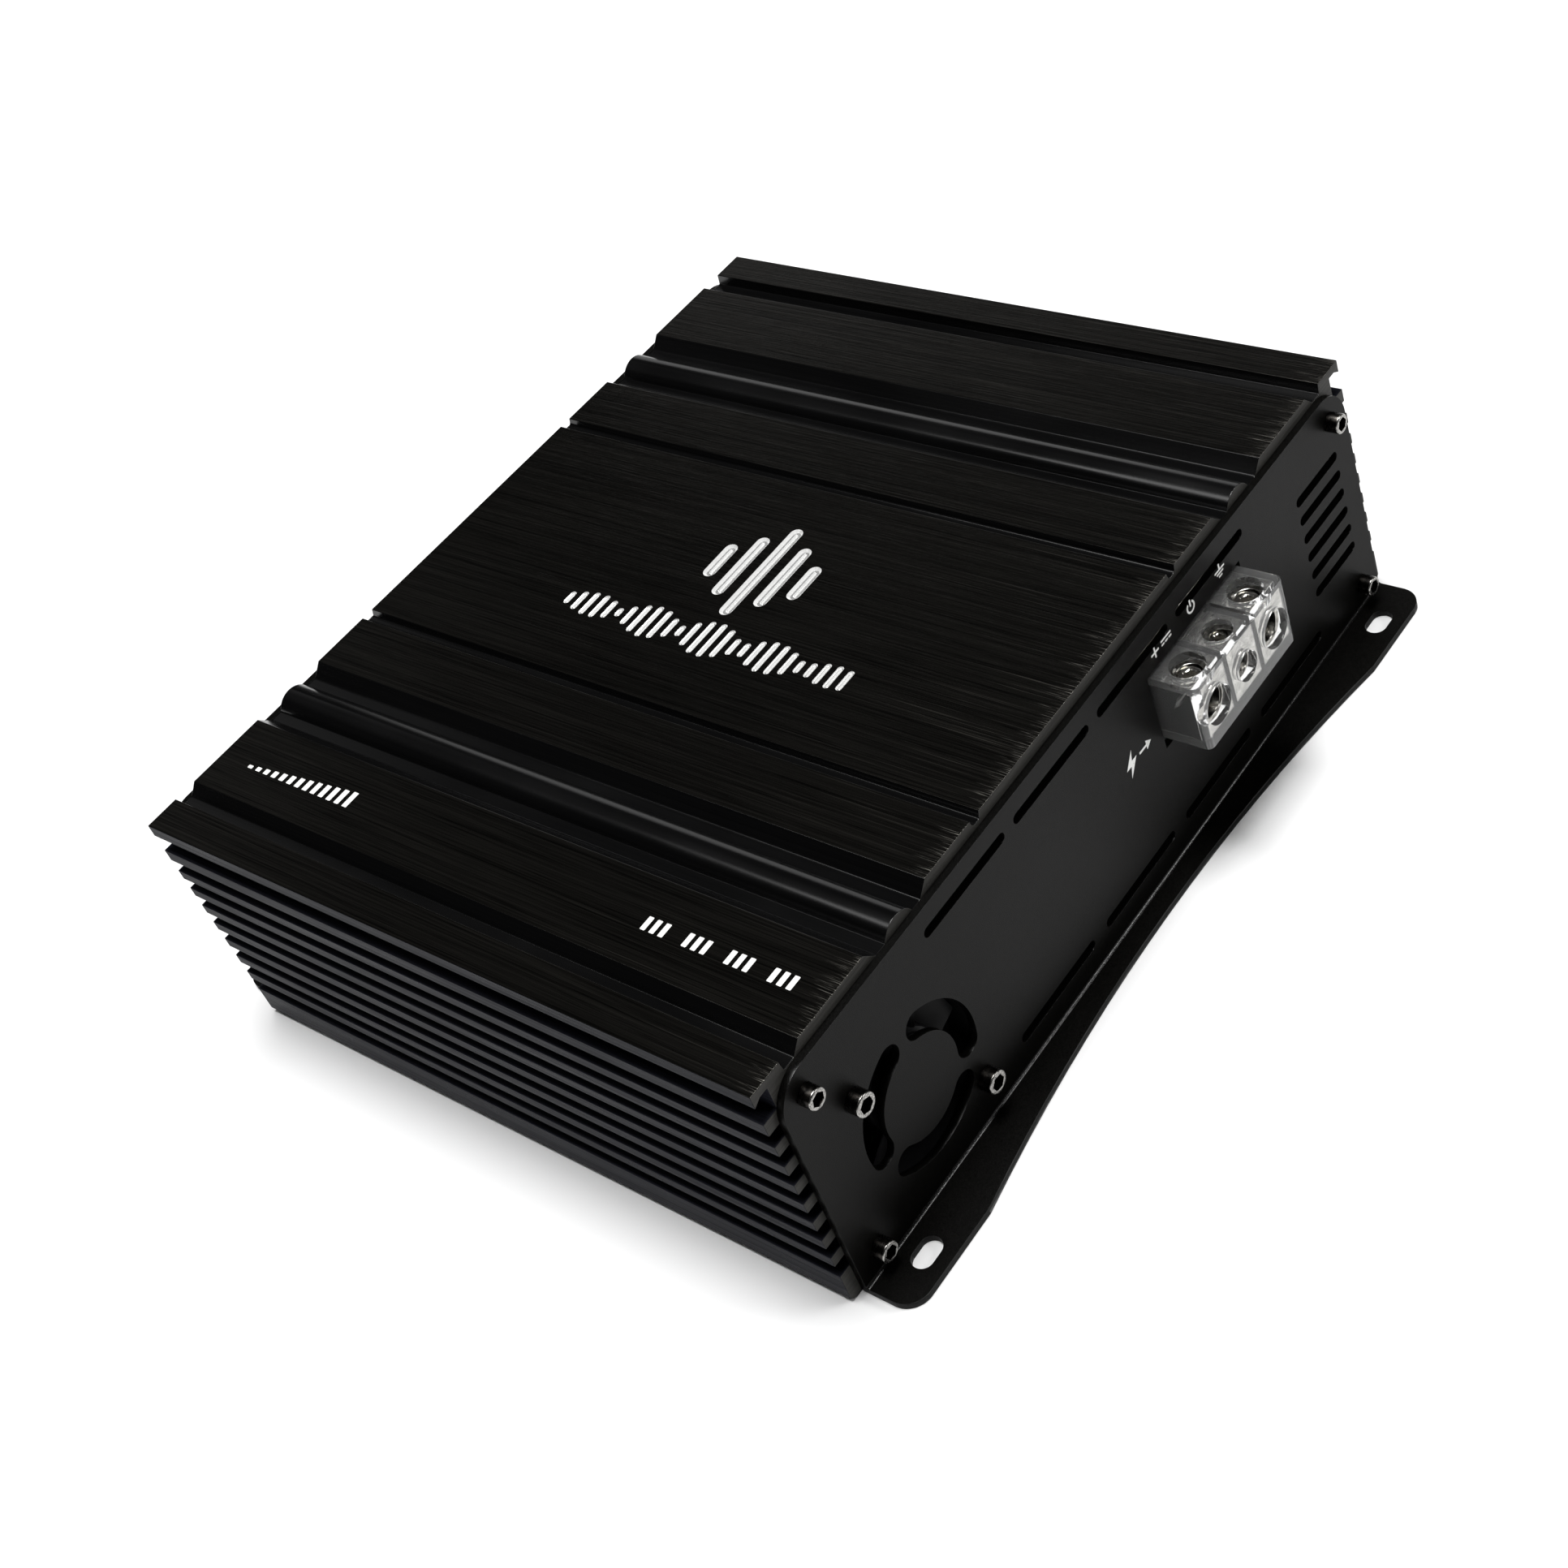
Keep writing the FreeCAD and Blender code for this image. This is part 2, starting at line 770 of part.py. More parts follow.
def make_fan_frame():
    body = doc.addObject("PartDesign::Body", "fan_casing")
    face = new_sketch(body, "XZ_Plane", (S.fan_across, S.fan_height, HALF_LENGTH))
    half = S.fan_size / 2
    corner = 3.0
    arc_middle = corner * (1 - math.sqrt(0.5))
    outline(face, [
        (-half + corner, -half),
        (half - corner, -half, (half - arc_middle, -half + arc_middle)),
        (half, -half + corner),
        (half, half - corner, (half - arc_middle, half - arc_middle)),
        (half - corner, half),
        (-half + corner, half, (-half + arc_middle, half - arc_middle)),
        (-half, half - corner),
        (-half, -half + corner, (-half + arc_middle, -half + arc_middle)),
    ])
    circle(face, S.fan_bore)
    for side in (1, -1):
        for level in (1, -1):
            circle(face, S.screw_clear, (S.fan_hole_half * side, S.fan_hole_half * level))
    pad(body, face, S.fan_depth, reverse=True)

    back = S.fan_depth - 1.5
    disc = rod(10.6, 1.5, fan_point(0, back, 0), "Y")
    tube = rod(2.6, 5.1, fan_point(0, back - 5.1, 0), "Y")
    struts = []
    for number in range(4):
        strut = doc.addObject("Part::Box", "strut")
        strut.Length = 10.0
        strut.Width = 1.5
        strut.Height = 2.2
        turn = FreeCAD.Rotation(FreeCAD.Vector(0, 1, 0), 45 + 90 * number)
        corner_shift = turn.multVec(FreeCAD.Vector(9.6, 0, -1.1))
        place(strut, *fan_point(corner_shift.x, back, corner_shift.z), turn)
        struts.append(strut)
    bearing = rod(1.05, 8.0, fan_point(0, S.fan_depth - 7.5, 0), "Y")
    keep("fan_frame", without(joined(body, disc, tube, *struts), bearing))


def make_fan_rotor():
    front = 1.2
    hub = without(
        rod(11.2, 6.6, fan_point(0, front, 0), "Y"),
        rod(10.2, 6.0, fan_point(0, front + 1.3, 0), "Y"),
    )
    shaft = rod(1.0, 7.3, fan_point(0, front + 1.0, 0), "Y")
    blades = []
    blade_count = 7
    for number in range(blade_count):
        blade = doc.addObject("Part::Box", "blade")
        blade.Length = 9.0
        blade.Width = 7.4
        blade.Height = 0.9
        spin = FreeCAD.Rotation(FreeCAD.Vector(0, 1, 0), 360.0 * number / blade_count)
        pitch = FreeCAD.Rotation(FreeCAD.Vector(1, 0, 0), 38)
        turn = spin.multiply(pitch)
        corner_shift = turn.multVec(FreeCAD.Vector(10.6, -3.7, -0.45))
        place(blade, *fan_point(corner_shift.x, corner_shift.y + 4.6, corner_shift.z), turn)
        blades.append(blade)
    swept = without(
        rod(18.3, 6.6, fan_point(0, front, 0), "Y"),
        rod(10.9, 8.0, fan_point(0, front - 0.5, 0), "Y"),
    )
    keep("fan_rotor", joined(hub, shaft, common(joined(*blades), swept)))


def make_fan():
    make_fan_frame()
    make_fan_rotor()
    stator = without(
        rod(9.4, 4.6, fan_point(0, 3.8, 0), "Y"),
        rod(2.7, 6.0, fan_point(0, 3.0, 0), "Y"),
    )
    keep("fan_stator", stator)
    screws = []
    nuts = []
    for side in (1, -1):
        across = S.fan_across - S.fan_hole_half * side
        height = S.fan_height + S.fan_hole_half * side
        screws.append(socket_screw(across, -PLATE_OUT, height, "Y", -1, 14.6))
        seat = S.fan_depth - HALF_LENGTH
        nuts.append(without(
            hexagon(3.1, 2.4, (across, seat, height), "Y"),
            rod(1.3, 3.0, (across, seat - 0.3, height), "Y"),
        ))
    keep("fan_screws", together(screws))
    keep("fan_nuts", together(nuts))


# Power terminals: a clear housing with three plated blocks, each with its clamping screw

POLES = {
    "positive": (-1, "outer"),
    "remote": (0, "middle"),
    "ground": (1, "outer"),
}
POLE_SIZES = {
    "outer": {"block": 5.5, "wire": 3.7, "entry": 4.7, "well": 4.1, "screw": 2.95, "key": 1.7},
    "middle": {"block": 5.3, "wire": 2.4, "entry": 3.6, "well": 3.5, "screw": 1.95, "key": 1.15},
}
BLOCK_LOW = 35.5
BLOCK_TOP = 49.0
BLOCK_FRONT = -102.9
BLOCK_REAR = -86.5
SCREW_TOP = 48.5


def make_power_terminals():
    half = S.power_width / 2
    body = doc.addObject("PartDesign::Body", "terminal_moulding")
    plan = new_sketch(body, "XY_Plane", (S.power_centre, 0, S.power_low))
    corner = 1.6
    arc_middle = corner * (1 - math.sqrt(0.5))
    front = S.power_front
    outline(plan, [
        (-half, -front + corner, (-half + arc_middle, -front + arc_middle)),
        (-half + corner, -front),
        (half - corner, -front, (half - arc_middle, -front + arc_middle)),
        (half, -front + corner),
        (half, -86),
        (-half, -86),
    ])
    pad(body, plan, S.power_top - S.power_low)
    collar = box(
        (S.power_centre - half - 2.6, S.power_centre + half + 2.6),
        (-HALF_LENGTH, -HALF_LENGTH + 1.7),
        (S.power_low - 4.2, S.power_top + 2.0),
    )
    hollows = [box(
        (S.power_centre - 6.2, S.power_centre + 6.2),
        (-front - 1, -PLATE_OUT - 0.2),
        (S.power_top - 1, S.power_top + 1),
    )]
    for pole, (step, kind) in POLES.items():
        sizes = POLE_SIZES[kind]
        across = S.power_centre + S.power_pitch * step
        gap = sizes["block"] + 0.1
        hollows += [
            box((across - gap, across + gap), (BLOCK_FRONT - 0.1, -85.5),
                (BLOCK_LOW - 0.1, BLOCK_TOP + 0.1)),
            rod(sizes["entry"], 6.0, (across, -front - 1, S.wire_height), "Y"),
            rod(sizes["well"], 6.0, (across, -S.well_reach, BLOCK_TOP - 0.5)),
        ]
        block = joined(
            box((across - sizes["block"], across + sizes["block"]), (BLOCK_FRONT, BLOCK_REAR),
                (BLOCK_LOW, BLOCK_TOP)),
            box((across - 2.5, across + 2.5), (BLOCK_REAR - 0.5, -76.5), (BLOCK_LOW, BLOCK_LOW + 1.5)),
            box((across - 2.5, across + 2.5), (-78.0, -76.5), (BOARD_TOP, BLOCK_LOW + 1.5)),
        )
        keep(f"power_contact_{pole}", without(
            block,
            rod(sizes["wire"], 13.4, (across, BLOCK_FRONT - 1, S.wire_height), "Y"),
            rod(sizes["screw"] + 0.05, 8.0, (across, -S.well_reach, S.wire_height)),
        ))
        low = S.wire_height + sizes["wire"] - 0.6
        length = SCREW_TOP - low
        screw = rod(sizes["screw"], length, (across, -S.well_reach, low))
        key = hexagon(sizes["key"], 2.5, (across, -S.well_reach, SCREW_TOP - 2.0))
        keep(f"power_screw_{pole}", without(screw, key))
    keep("power_terminal_housing", without(joined(body, collar), *hollows))


# Audio end: inputs, level and crossover controls, speaker outputs

RCA_COLUMNS = [84.0, 66.0]
RCA_ROWS = [24.7, 40.7]
KNOB_PLACES = {
    "front_level_knob": 44.0,
    "rear_level_knob": 30.0,
    "low_pass_knob": 16.0,
    "high_pass_knob": 2.0,
}
SWITCH_PLACES = {"front_switch_slider": 37.0, "rear_switch_slider": 9.0}
LIGHT_ACROSS = -10.0
SPEAKER_POLES = 8


def make_inputs():
    barrels = []
    insulators = []
    for name, across in zip(("rca_housing_front", "rca_housing_rear"), RCA_COLUMNS):
        sleeves = []
        bores = []
        for height in RCA_ROWS:
            sleeves.append(rod(5.0, 3.6, (across, 91.0, height), "Y"))
            bores.append(rod(4.2, 6.0, (across, 90.0, height), "Y"))
            barrels.append(without(
                rod(4.15, 11.8, (across, 90.1, height), "Y"),
                rod(3.3, 12.0, (across, 91.5, height), "Y"),
            ))
            insulators.append(without(
                rod(3.25, 9.6, (across, 91.5, height), "Y"),
                rod(1.6, 9.0, (across, 93.0, height), "Y"),
            ))
        shell = box((across - 8, across + 8), (78.0, 91.7), (BOARD_TOP, 48.7))
        keep(name, without(joined(shell, *sleeves), *bores))
    keep("rca_barrels", together(barrels))
    keep("rca_insulators", together(insulators))


def make_knob(name, across):
    """A level knob: a fluted cap outside the plate on a shaft that turns in its control."""
    cap = cone(4.7, 4.3, 5.0, (across, 94.4, S.knob_height), "Y")
    shaft = rod(2.0, 9.4, (across, 85.2, S.knob_height), "Y")
    flutes = []
    flute_count = 12
    for number in range(flute_count):
        angle = 2 * math.pi * number / flute_count
        flutes.append(rod(
            0.55,
            6.0,
            (across + 4.75 * math.cos(angle), 94.0, S.knob_height + 4.75 * math.sin(angle)),
            "Y",
        ))
    pointer = box((across - 0.4, across + 0.4), (98.9, 100.0),
                  (S.knob_height + 0.8, S.knob_height + 5.0))
    keep(name, without(joined(cap, shaft), pointer, *flutes))


def make_controls():
    keep("control_board", box((-14.0, 52.0), (81.4, 83.0), (BOARD_TOP, 50.2)))
    bodies = []
    for name, across in KNOB_PLACES.items():
        make_knob(name, across)
        shell = joined(
            box((across - 4.5, across + 4.5), (83.0, 90.0), (S.knob_height - 5, S.knob_height + 5)),
            rod(3.2, 3.0, (across, 90.0, S.knob_height), "Y"),
        )
        bodies.append(without(shell, rod(2.05, 9.0, (across, 85.0, S.knob_height), "Y")))
    keep("level_control_bodies", together(bodies))
    bodies = []
    for name, across in SWITCH_PLACES.items():
        middle = S.switch_height
        shell = box((across - 6.0, across + 6.0), (83.0, 90.5), (middle - 3.2, middle + 3.2))
        track = box((across - 4.2, across + 4.2), (86.0, 91.0), (middle - 1.7, middle + 1.7))
        bodies.append(without(shell, track))
        keep(name, joined(
            box((across - 1.5, across + 1.5), (86.3, 96.0), (middle - 1.4, middle + 1.4)),
        ))
    keep("crossover_switch_bodies", together(bodies))
    keep("status_light", joined(
        rod(1.5, 11.0, (LIGHT_ACROSS, 83.0, S.knob_height), "Y"),
        cone(1.5, 0.8, 0.9, (LIGHT_ACROSS, 94.0, S.knob_height), "Y"),
    ))


def make_speaker_terminals():
    half = S.speaker_width / 2
    x_low = S.speaker_centre - half
    x_high = S.speaker_centre + half
    pitch = (S.speaker_width - 1.6) / SPEAKER_POLES
    middle = (S.speaker_low + S.speaker_top) / 2
    moulding = [
        box((x_low, x_high), (80.0, 94.6), (S.speaker_low, S.speaker_top)),
        box((x_low, x_high), (80.0, 88.0), (BOARD_TOP, S.speaker_low)),
    ]
    for number in range(SPEAKER_POLES + 1):
        start = x_low + pitch * number
        moulding.append(box((start, start + 1.6), (94.0, 101.0), (S.speaker_low, S.speaker_top)))
    holes = []
    plates = []
    screws = []
    for number in range(SPEAKER_POLES):
        across = x_low + 0.8 + pitch * (number + 0.5)
        holes.append(rod(1.65, 6.0, (across, 89.0, middle), "Y"))
        plate = box((across - 3.4, across + 3.4), (94.6, 95.6), (middle - 6.5, middle + 6.5))
        plates.append(without(plate, rod(1.75, 3.0, (across, 94.0, middle), "Y")))
        slot = box((across - 3.2, across + 3.2), (97.2, 99.0), (middle - 0.4, middle + 0.4))
        screws.append(without(
            joined(
                rod(1.6, 6.4, (across, 89.3, middle), "Y"),
                cone(3.0, 2.7, 2.4, (across, 95.6, middle), "Y"),
            ),
            slot,
        ))
    keep("speaker_terminal_housing", without(joined(*moulding), *holes))
    keep("speaker_terminal_plates", together(plates))
    keep("speaker_terminal_screws", together(screws))


# Circuit board and what stands on it

STANDOFF_PLACES = [(x, y) for x in (-84.0, -28.0, 28.0, 84.0) for y in (-68.0, 66.0)]
TRANSISTOR_PITCH = 17.0
TRANSISTOR_COUNT = 8
FIRST_TRANSISTOR = -62.0


def make_board():
    board = box((-S.board_half, S.board_half), (-S.board_front, S.board_rear), (S.board_low, BOARD_TOP))
    holes = [rod(1.7, 3.0, (x, y, S.board_low - 0.5)) for x, y in STANDOFF_PLACES]
    keep("main_board", without(board, *holes))
    foot = S.rail_low + S.cover_thick
    standoffs = []
    screws = []
    for x, y in STANDOFF_PLACES:
        post = hexagon(3.2, S.board_low - foot, (x, y, foot))
        standoffs.append(without(post, rod(1.3, 6.0, (x, y, S.board_low - 5.5))))
        screws.append(socket_screw(x, y, BOARD_TOP, "Z", 1, 6.0))
    keep("board_standoffs", together(standoffs))
    keep("board_screws", together(screws))


def make_power_devices(name, side):
    """The row of power transistors on one side wall, with pad, clamp bar and screws."""
    def spans(first, last):
        """Limits across the body, in rising order on either side."""
        return (first, last) if side > 0 else (-sized(last), -sized(first))

    devices = []
    for number in range(TRANSISTOR_COUNT):
        middle = FIRST_TRANSISTOR + TRANSISTOR_PITCH * number
        package = [box(spans(96.1, 100.6), (middle - 5, middle + 5), (16.2, 31.2))]
        for step in (-1, 0, 1):
            package.append(rod(0.45, 5.2, (96.8 * side, middle + 2.54 * step, BOARD_TOP)))
        devices.append(joined(*package))
    keep(f"power_transistors_{name}", together(devices))

    def screw_holes(first, length):
        start = first if side > 0 else -(first + length)
        return [
            rod(1.4, length, (start, place_y, CLAMP_HEIGHT), "X") for place_y in CLAMP_SCREW_PLACES
        ]

    pad_strip = box(spans(100.6, S.wall_inner), (-70.0, 65.0), (15.2, 34.2))
    keep(f"thermal_pad_{name}", without(pad_strip, *screw_holes(100.0, 2.0)))
    bar = box(spans(94.1, 96.1), (-66.0, 61.0), (21.7, 30.7))
    keep(f"clamp_bar_{name}", without(bar, *screw_holes(93.5, 3.0)))
    keep(f"clamp_screws_{name}", together(
        socket_screw(94.1 * side, place_y, CLAMP_HEIGHT, "X", -side, 9.6)
        for place_y in CLAMP_SCREW_PLACES
    ))


def make_board_parts():
    transformer_places = [(-26.0, -36.0), (24.0, -36.0)]
    keep("transformer_bases", together(
        joined(rod(20.0, 1.6, (x, y, BOARD_TOP)), rod(3.0, 14.0, (x, y, BOARD_TOP)))
        for x, y in transformer_places
    ))
    keep("power_transformers", together(
        ring(12.5, 7.0, (x, y, BOARD_TOP + 1.6 + 7.0)) for x, y in transformer_places
    ))
    keep("input_capacitors", together(
        rod(6.3, 26.0, (x, -63.0, BOARD_TOP)) for x in (56.0, 71.0)
    ))
    keep("rail_capacitors", together(
        rod(8.0, 32.0, (x, 10.0, BOARD_TOP)) for x in (-54.0, -18.0, 18.0, 54.0)
    ))
    keep("output_inductors", together(
        ring(7.0, 3.2, (x, 38.0, BOARD_TOP + 10.2), "X") for x in (-66.0, -22.0, 22.0, 66.0)
    ))
    keep("driver_card", box((-38.0, 38.0), (56.0, 57.6), (BOARD_TOP, 38.2)))
    keep("driver_chips", together(
        box((x - 5.0, x + 5.0), (54.4, 56.0), (20.2, 26.2)) for x in (-27.0, -9.0, 9.0, 27.0)
    ))


make_heatsink()
make_cover()
make_front_plate()
make_rear_plate()
make_fan()
make_power_terminals()
make_inputs()
make_controls()
make_speaker_terminals()
make_board()
make_power_devices("left", -1)
make_power_devices("right", 1)
make_board_parts()
doc.recompute()

failed = [obj.Label for obj in doc.Objects if {"Invalid", "Error"} & set(obj.State)]
if failed:
    raise RuntimeError(f"features failed: {failed}")
for name, obj in nodes.items():
    if obj.Shape.isNull() or not obj.Shape.isValid():
        raise RuntimeError(f"{name} has no valid shape")

os.makedirs("parts", exist_ok=True)
for name, obj in nodes.items():
    obj.Shape.exportStep(f"parts/{name}.step")
    bounds = obj.Shape.BoundBox
    limits = [bounds.XMin, bounds.YMin, bounds.ZMin, bounds.XMax, bounds.YMax, bounds.ZMax]
    print(name, len(obj.Shape.Solids), round(obj.Shape.Volume, 1), [round(v, 2) for v in limits])
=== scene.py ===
import json
import math

import bmesh
import bpy
from mathutils import Matrix, Vector


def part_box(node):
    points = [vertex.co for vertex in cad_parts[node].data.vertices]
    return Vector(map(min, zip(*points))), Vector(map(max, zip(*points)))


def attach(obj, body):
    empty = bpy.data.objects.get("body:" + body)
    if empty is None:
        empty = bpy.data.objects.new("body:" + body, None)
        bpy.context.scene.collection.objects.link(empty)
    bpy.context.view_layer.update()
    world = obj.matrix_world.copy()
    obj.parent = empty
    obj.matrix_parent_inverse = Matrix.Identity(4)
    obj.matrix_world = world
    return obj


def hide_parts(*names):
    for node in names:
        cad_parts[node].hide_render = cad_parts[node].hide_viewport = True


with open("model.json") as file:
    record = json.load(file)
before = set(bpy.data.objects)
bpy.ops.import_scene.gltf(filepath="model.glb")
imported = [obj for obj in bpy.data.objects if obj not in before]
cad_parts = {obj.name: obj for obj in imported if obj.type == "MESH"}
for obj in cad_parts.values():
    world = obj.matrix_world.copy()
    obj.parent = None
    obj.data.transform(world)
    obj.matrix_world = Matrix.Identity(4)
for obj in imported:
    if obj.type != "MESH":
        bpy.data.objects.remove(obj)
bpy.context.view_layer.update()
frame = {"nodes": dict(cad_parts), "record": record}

MM = 0.001
CHASSIS = "chassis"
NODES = frame["nodes"]


# Materials

class Look:
    """A procedural material, with short ways to wire its nodes. Coordinates are the row frame's metres."""

    def __init__(self, name, color, roughness, metallic=0.0, sockets=None):
        self.material = bpy.data.materials.new(name)
        self.material.use_nodes = True
        self.tree = self.material.node_tree
        self.shader = self.tree.nodes["Principled BSDF"]
        self.set("Base Color", (*color, 1.0))
        self.set("Roughness", roughness)
        self.set("Metallic", metallic)
        for socket, value in (sockets or {}).items():
            self.set(socket, value)
        self.place = self.add("ShaderNodeTexCoord").outputs["Object"]

    def set(self, socket, value):
        self.shader.inputs[socket].default_value = value

    def feed(self, socket, output):
        self.tree.links.new(output, self.shader.inputs[socket])

    def add(self, kind, inputs=None, **settings):
        """A node with its settings and inputs. An input is a value or another node's output."""
        node = self.tree.nodes.new(kind)
        for setting, value in settings.items():
            setattr(node, setting, value)
        for socket, value in (inputs or {}).items():
            if isinstance(value, bpy.types.NodeSocket):
                self.tree.links.new(value, node.inputs[socket])
            else:
                node.inputs[socket].default_value = value
        return node

    def stretched(self, per_metre):
        """Coordinates scaled along each axis."""
        return self.add("ShaderNodeMapping", {"Vector": self.place, "Scale": per_metre}).outputs["Vector"]

    def noise(self, per_metre, detail=3.0, roughness=0.5):
        """Noise with so many features per metre along each axis."""
        if not isinstance(per_metre, tuple):
            per_metre = (per_metre,) * 3
        inputs = {
            "Vector": self.stretched(per_metre), "Scale": 1.0, "Detail": detail, "Roughness": roughness,
        }
        return self.add("ShaderNodeTexNoise", inputs).outputs["Fac"]

    def axis(self, letter):
        """One coordinate."""
        return self.add("ShaderNodeSeparateXYZ", {"Vector": self.place}).outputs[letter]

    def normal(self, letter):
        """How far the surface faces along one axis."""
        direction = self.add("ShaderNodeTexCoord").outputs["Normal"]
        return self.add("ShaderNodeSeparateXYZ", {"Vector": direction}).outputs[letter]

    def spread(self, value, low, high, to_low=0.0, to_high=1.0):
        """Value carried from one range to another and held inside it."""
        inputs = {
            "Value": value, "From Min": low, "From Max": high, "To Min": to_low, "To Max": to_high,
        }
        return self.add("ShaderNodeMapRange", inputs).outputs["Result"]

    def math(self, operation, first, second):
        return self.add("ShaderNodeMath", {0: first, 1: second}, operation=operation).outputs["Value"]

    def mix(self, factor, first, second):
        """Two colours mixed."""
        node = self.add("ShaderNodeMix", data_type="RGBA")
        for index, value in ((0, factor), (6, first), (7, second)):
            if isinstance(value, bpy.types.NodeSocket):
                self.tree.links.new(value, node.inputs[index])
            elif index:
                node.inputs[index].default_value = (*value, 1.0)
            else:
                node.inputs[index].default_value = value
        return node.outputs[2]

    def bump(self, *layers):
        """Relief from (height, depth in metres) layers, one over another."""
        normal = None
        for height, depth in layers:
            inputs = {"Height": height, "Distance": depth, "Strength": 1.0}
            if normal:
                inputs["Normal"] = normal
            normal = self.add("ShaderNodeBump", inputs).outputs["Normal"]
        self.feed("Normal", normal)


def brushed_anodised():
    """Top panels: black anodising over lengthwise brushing, with bare flecks where the ends were sawn, and
    a painted highlight of light grey brushing marks, strongest near the low-Y end.
    """
    look = Look("brushed_anodised", (0.022, 0.0205, 0.018), 0.36, 0.92)
    hairs = look.noise((5200, 60, 5200), 4.0, 0.62)
    lines = look.noise((3300, 20, 3300), 3.0, 0.6)
    patches = look.noise((30, 14, 30), 2.0)
    distance = look.math("SUBTRACT", look.axis("Y"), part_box("heatsink_shell")[0].y)
    # Painted highlight: light grey brushing marks mixed into the base colour, strongest within 70 mm of
    # the low-Y end and faint elsewhere.
    painted_highlight_near_end = look.spread(distance, 0.0, 0.07, 1.0, 0.15)
    painted_highlight_streaks = look.math("MULTIPLY", look.spread(lines, 0.58, 0.74), look.spread(patches, 0.3, 0.6, 0.2))
    painted_highlight_streaks = look.math("MULTIPLY", painted_highlight_streaks, painted_highlight_near_end)
    strokes = look.noise((2700, 16, 2700), 3.0, 0.6)
    blend = look.math("ADD", look.math("MULTIPLY", hairs, 0.5), look.math("MULTIPLY", strokes, 0.5))
    body = look.mix(look.spread(blend, 0.38, 0.62), (0.006, 0.0057, 0.0051), (0.048, 0.0453, 0.0401))
    lined = look.mix(look.math("MULTIPLY", painted_highlight_streaks, 0.85), body, (0.22, 0.208, 0.184))
    fleck_noise = look.noise((4600, 110, 4600), 4.0, 0.65)
    reach = look.spread(look.noise((900, 4, 900), 4.0, 0.7), 0.38, 0.70, 0.0003, 0.0095)
    nearness = look.spread(look.math("DIVIDE", distance, reach), 0.0, 1.0, 1.0, 0.0)
    flecks = look.math("MULTIPLY", look.spread(fleck_noise, 0.53, 0.70), nearness)
    look.feed("Base Color", look.mix(flecks, lined, (0.50, 0.48, 0.43)))
    look.feed("Metallic", look.spread(flecks, 0.0, 1.0, 0.92, 0.35))
    look.feed("Roughness", look.spread(hairs, 0.3, 0.7, 0.27, 0.19))
    look.bump((hairs, 0.00002), (strokes, 0.00004))
    return look.material


def smooth_anodised():
    """Grooves and beads: glossy black anodising straight from the die, with faint draw lines."""
    look = Look("smooth_anodised", (0.0012, 0.0012, 0.0013), 0.20, 0.0, {"Specular IOR Level": 0.62})
    draw_lines = look.noise((2100, 6, 2100), 3.0, 0.6)
    smudges = look.noise((70, 22, 70), 3.0)
    tone = look.spread(draw_lines, 0.32, 0.72)
    look.feed("Base Color", look.mix(tone, (0.0008, 0.0008, 0.0009), (0.0018, 0.0018, 0.0019)))
    look.feed("Roughness", look.spread(smudges, 0.3, 0.7, 0.17, 0.24))
    look.bump((draw_lines, 0.000008))
    return look.material


def fin_anodised():
    """Side fins and rails: the same anodising, duller, drawn lengthwise, with a lighter bluish base colour
    that is a painted reflection.
    """
    look = Look("fin_anodised", (0.004, 0.0042, 0.0055), 0.28, 0.0)
    draw_lines = look.noise((2600, 9, 2600), 4.0, 0.65)
    smudges = look.noise((60, 30, 60), 3.0)
    tone = look.spread(draw_lines, 0.32, 0.72)
    # Painted reflection: the base colour is lighter and bluer than the top's anodising; the draw lines
    # vary its tone.
    look.feed("Base Color", look.mix(tone, (0.0096, 0.0100, 0.0135), (0.0192, 0.0200, 0.0262)))
    look.feed("Specular IOR Level", look.spread(tone, 0.0, 1.0, 0.008, 0.030))
    look.feed("Roughness", look.spread(smudges, 0.3, 0.7, 0.22, 0.36))
    look.bump((draw_lines, 0.00001))
    return look.material


def sawn_anodised():
    """End faces of the extrusion: sawn across, then anodised."""
    look = Look("sawn_anodised", (0.034, 0.033, 0.030), 0.5, 0.0, {"Specular IOR Level": 0.12})
    cuts = look.noise((60, 900, 2600), 3.0, 0.6)
    depth = look.spread(cuts, 0.3, 0.7)
    look.feed("Base Color", look.mix(depth, (0.024, 0.0235, 0.0215), (0.046, 0.0445, 0.041)))
    look.bump((cuts, 0.00003))
    return look.material


def milled_aluminium():
    """Bare metal at the bottom of the engraving, with cutter lines."""
    look = Look("milled_aluminium", (0.80, 0.80, 0.79), 0.28, 0.74)
    cutter = look.noise((3800, 900, 600), 2.0)
    shine = look.spread(cutter, 0.3, 0.6)
    look.feed("Base Color", look.mix(shine, (0.77, 0.77, 0.76), (0.83, 0.83, 0.82)))
    look.feed("Roughness", look.spread(cutter, 0.3, 0.7, 0.24, 0.30))
    look.bump((cutter, 0.000003))
    return look.material


def chamfered_aluminium():
    """Sides of the engraving, left by the tip of the cutter: the same bare aluminium, painted near white
    and mostly non-metallic as a highlight.
    """
    # Painted highlight: near white base colour at low metallic, so these sides look bright under any
    # light.
    look = Look("chamfered_aluminium", (0.93, 0.93, 0.92), 0.22, 0.30)
    cutter = look.noise((900, 900, 3000), 2.0)
    shine = look.spread(cutter, 0.3, 0.7)
    look.feed("Base Color", look.mix(shine, (0.86, 0.86, 0.85), (0.97, 0.97, 0.96)))
    return look.material


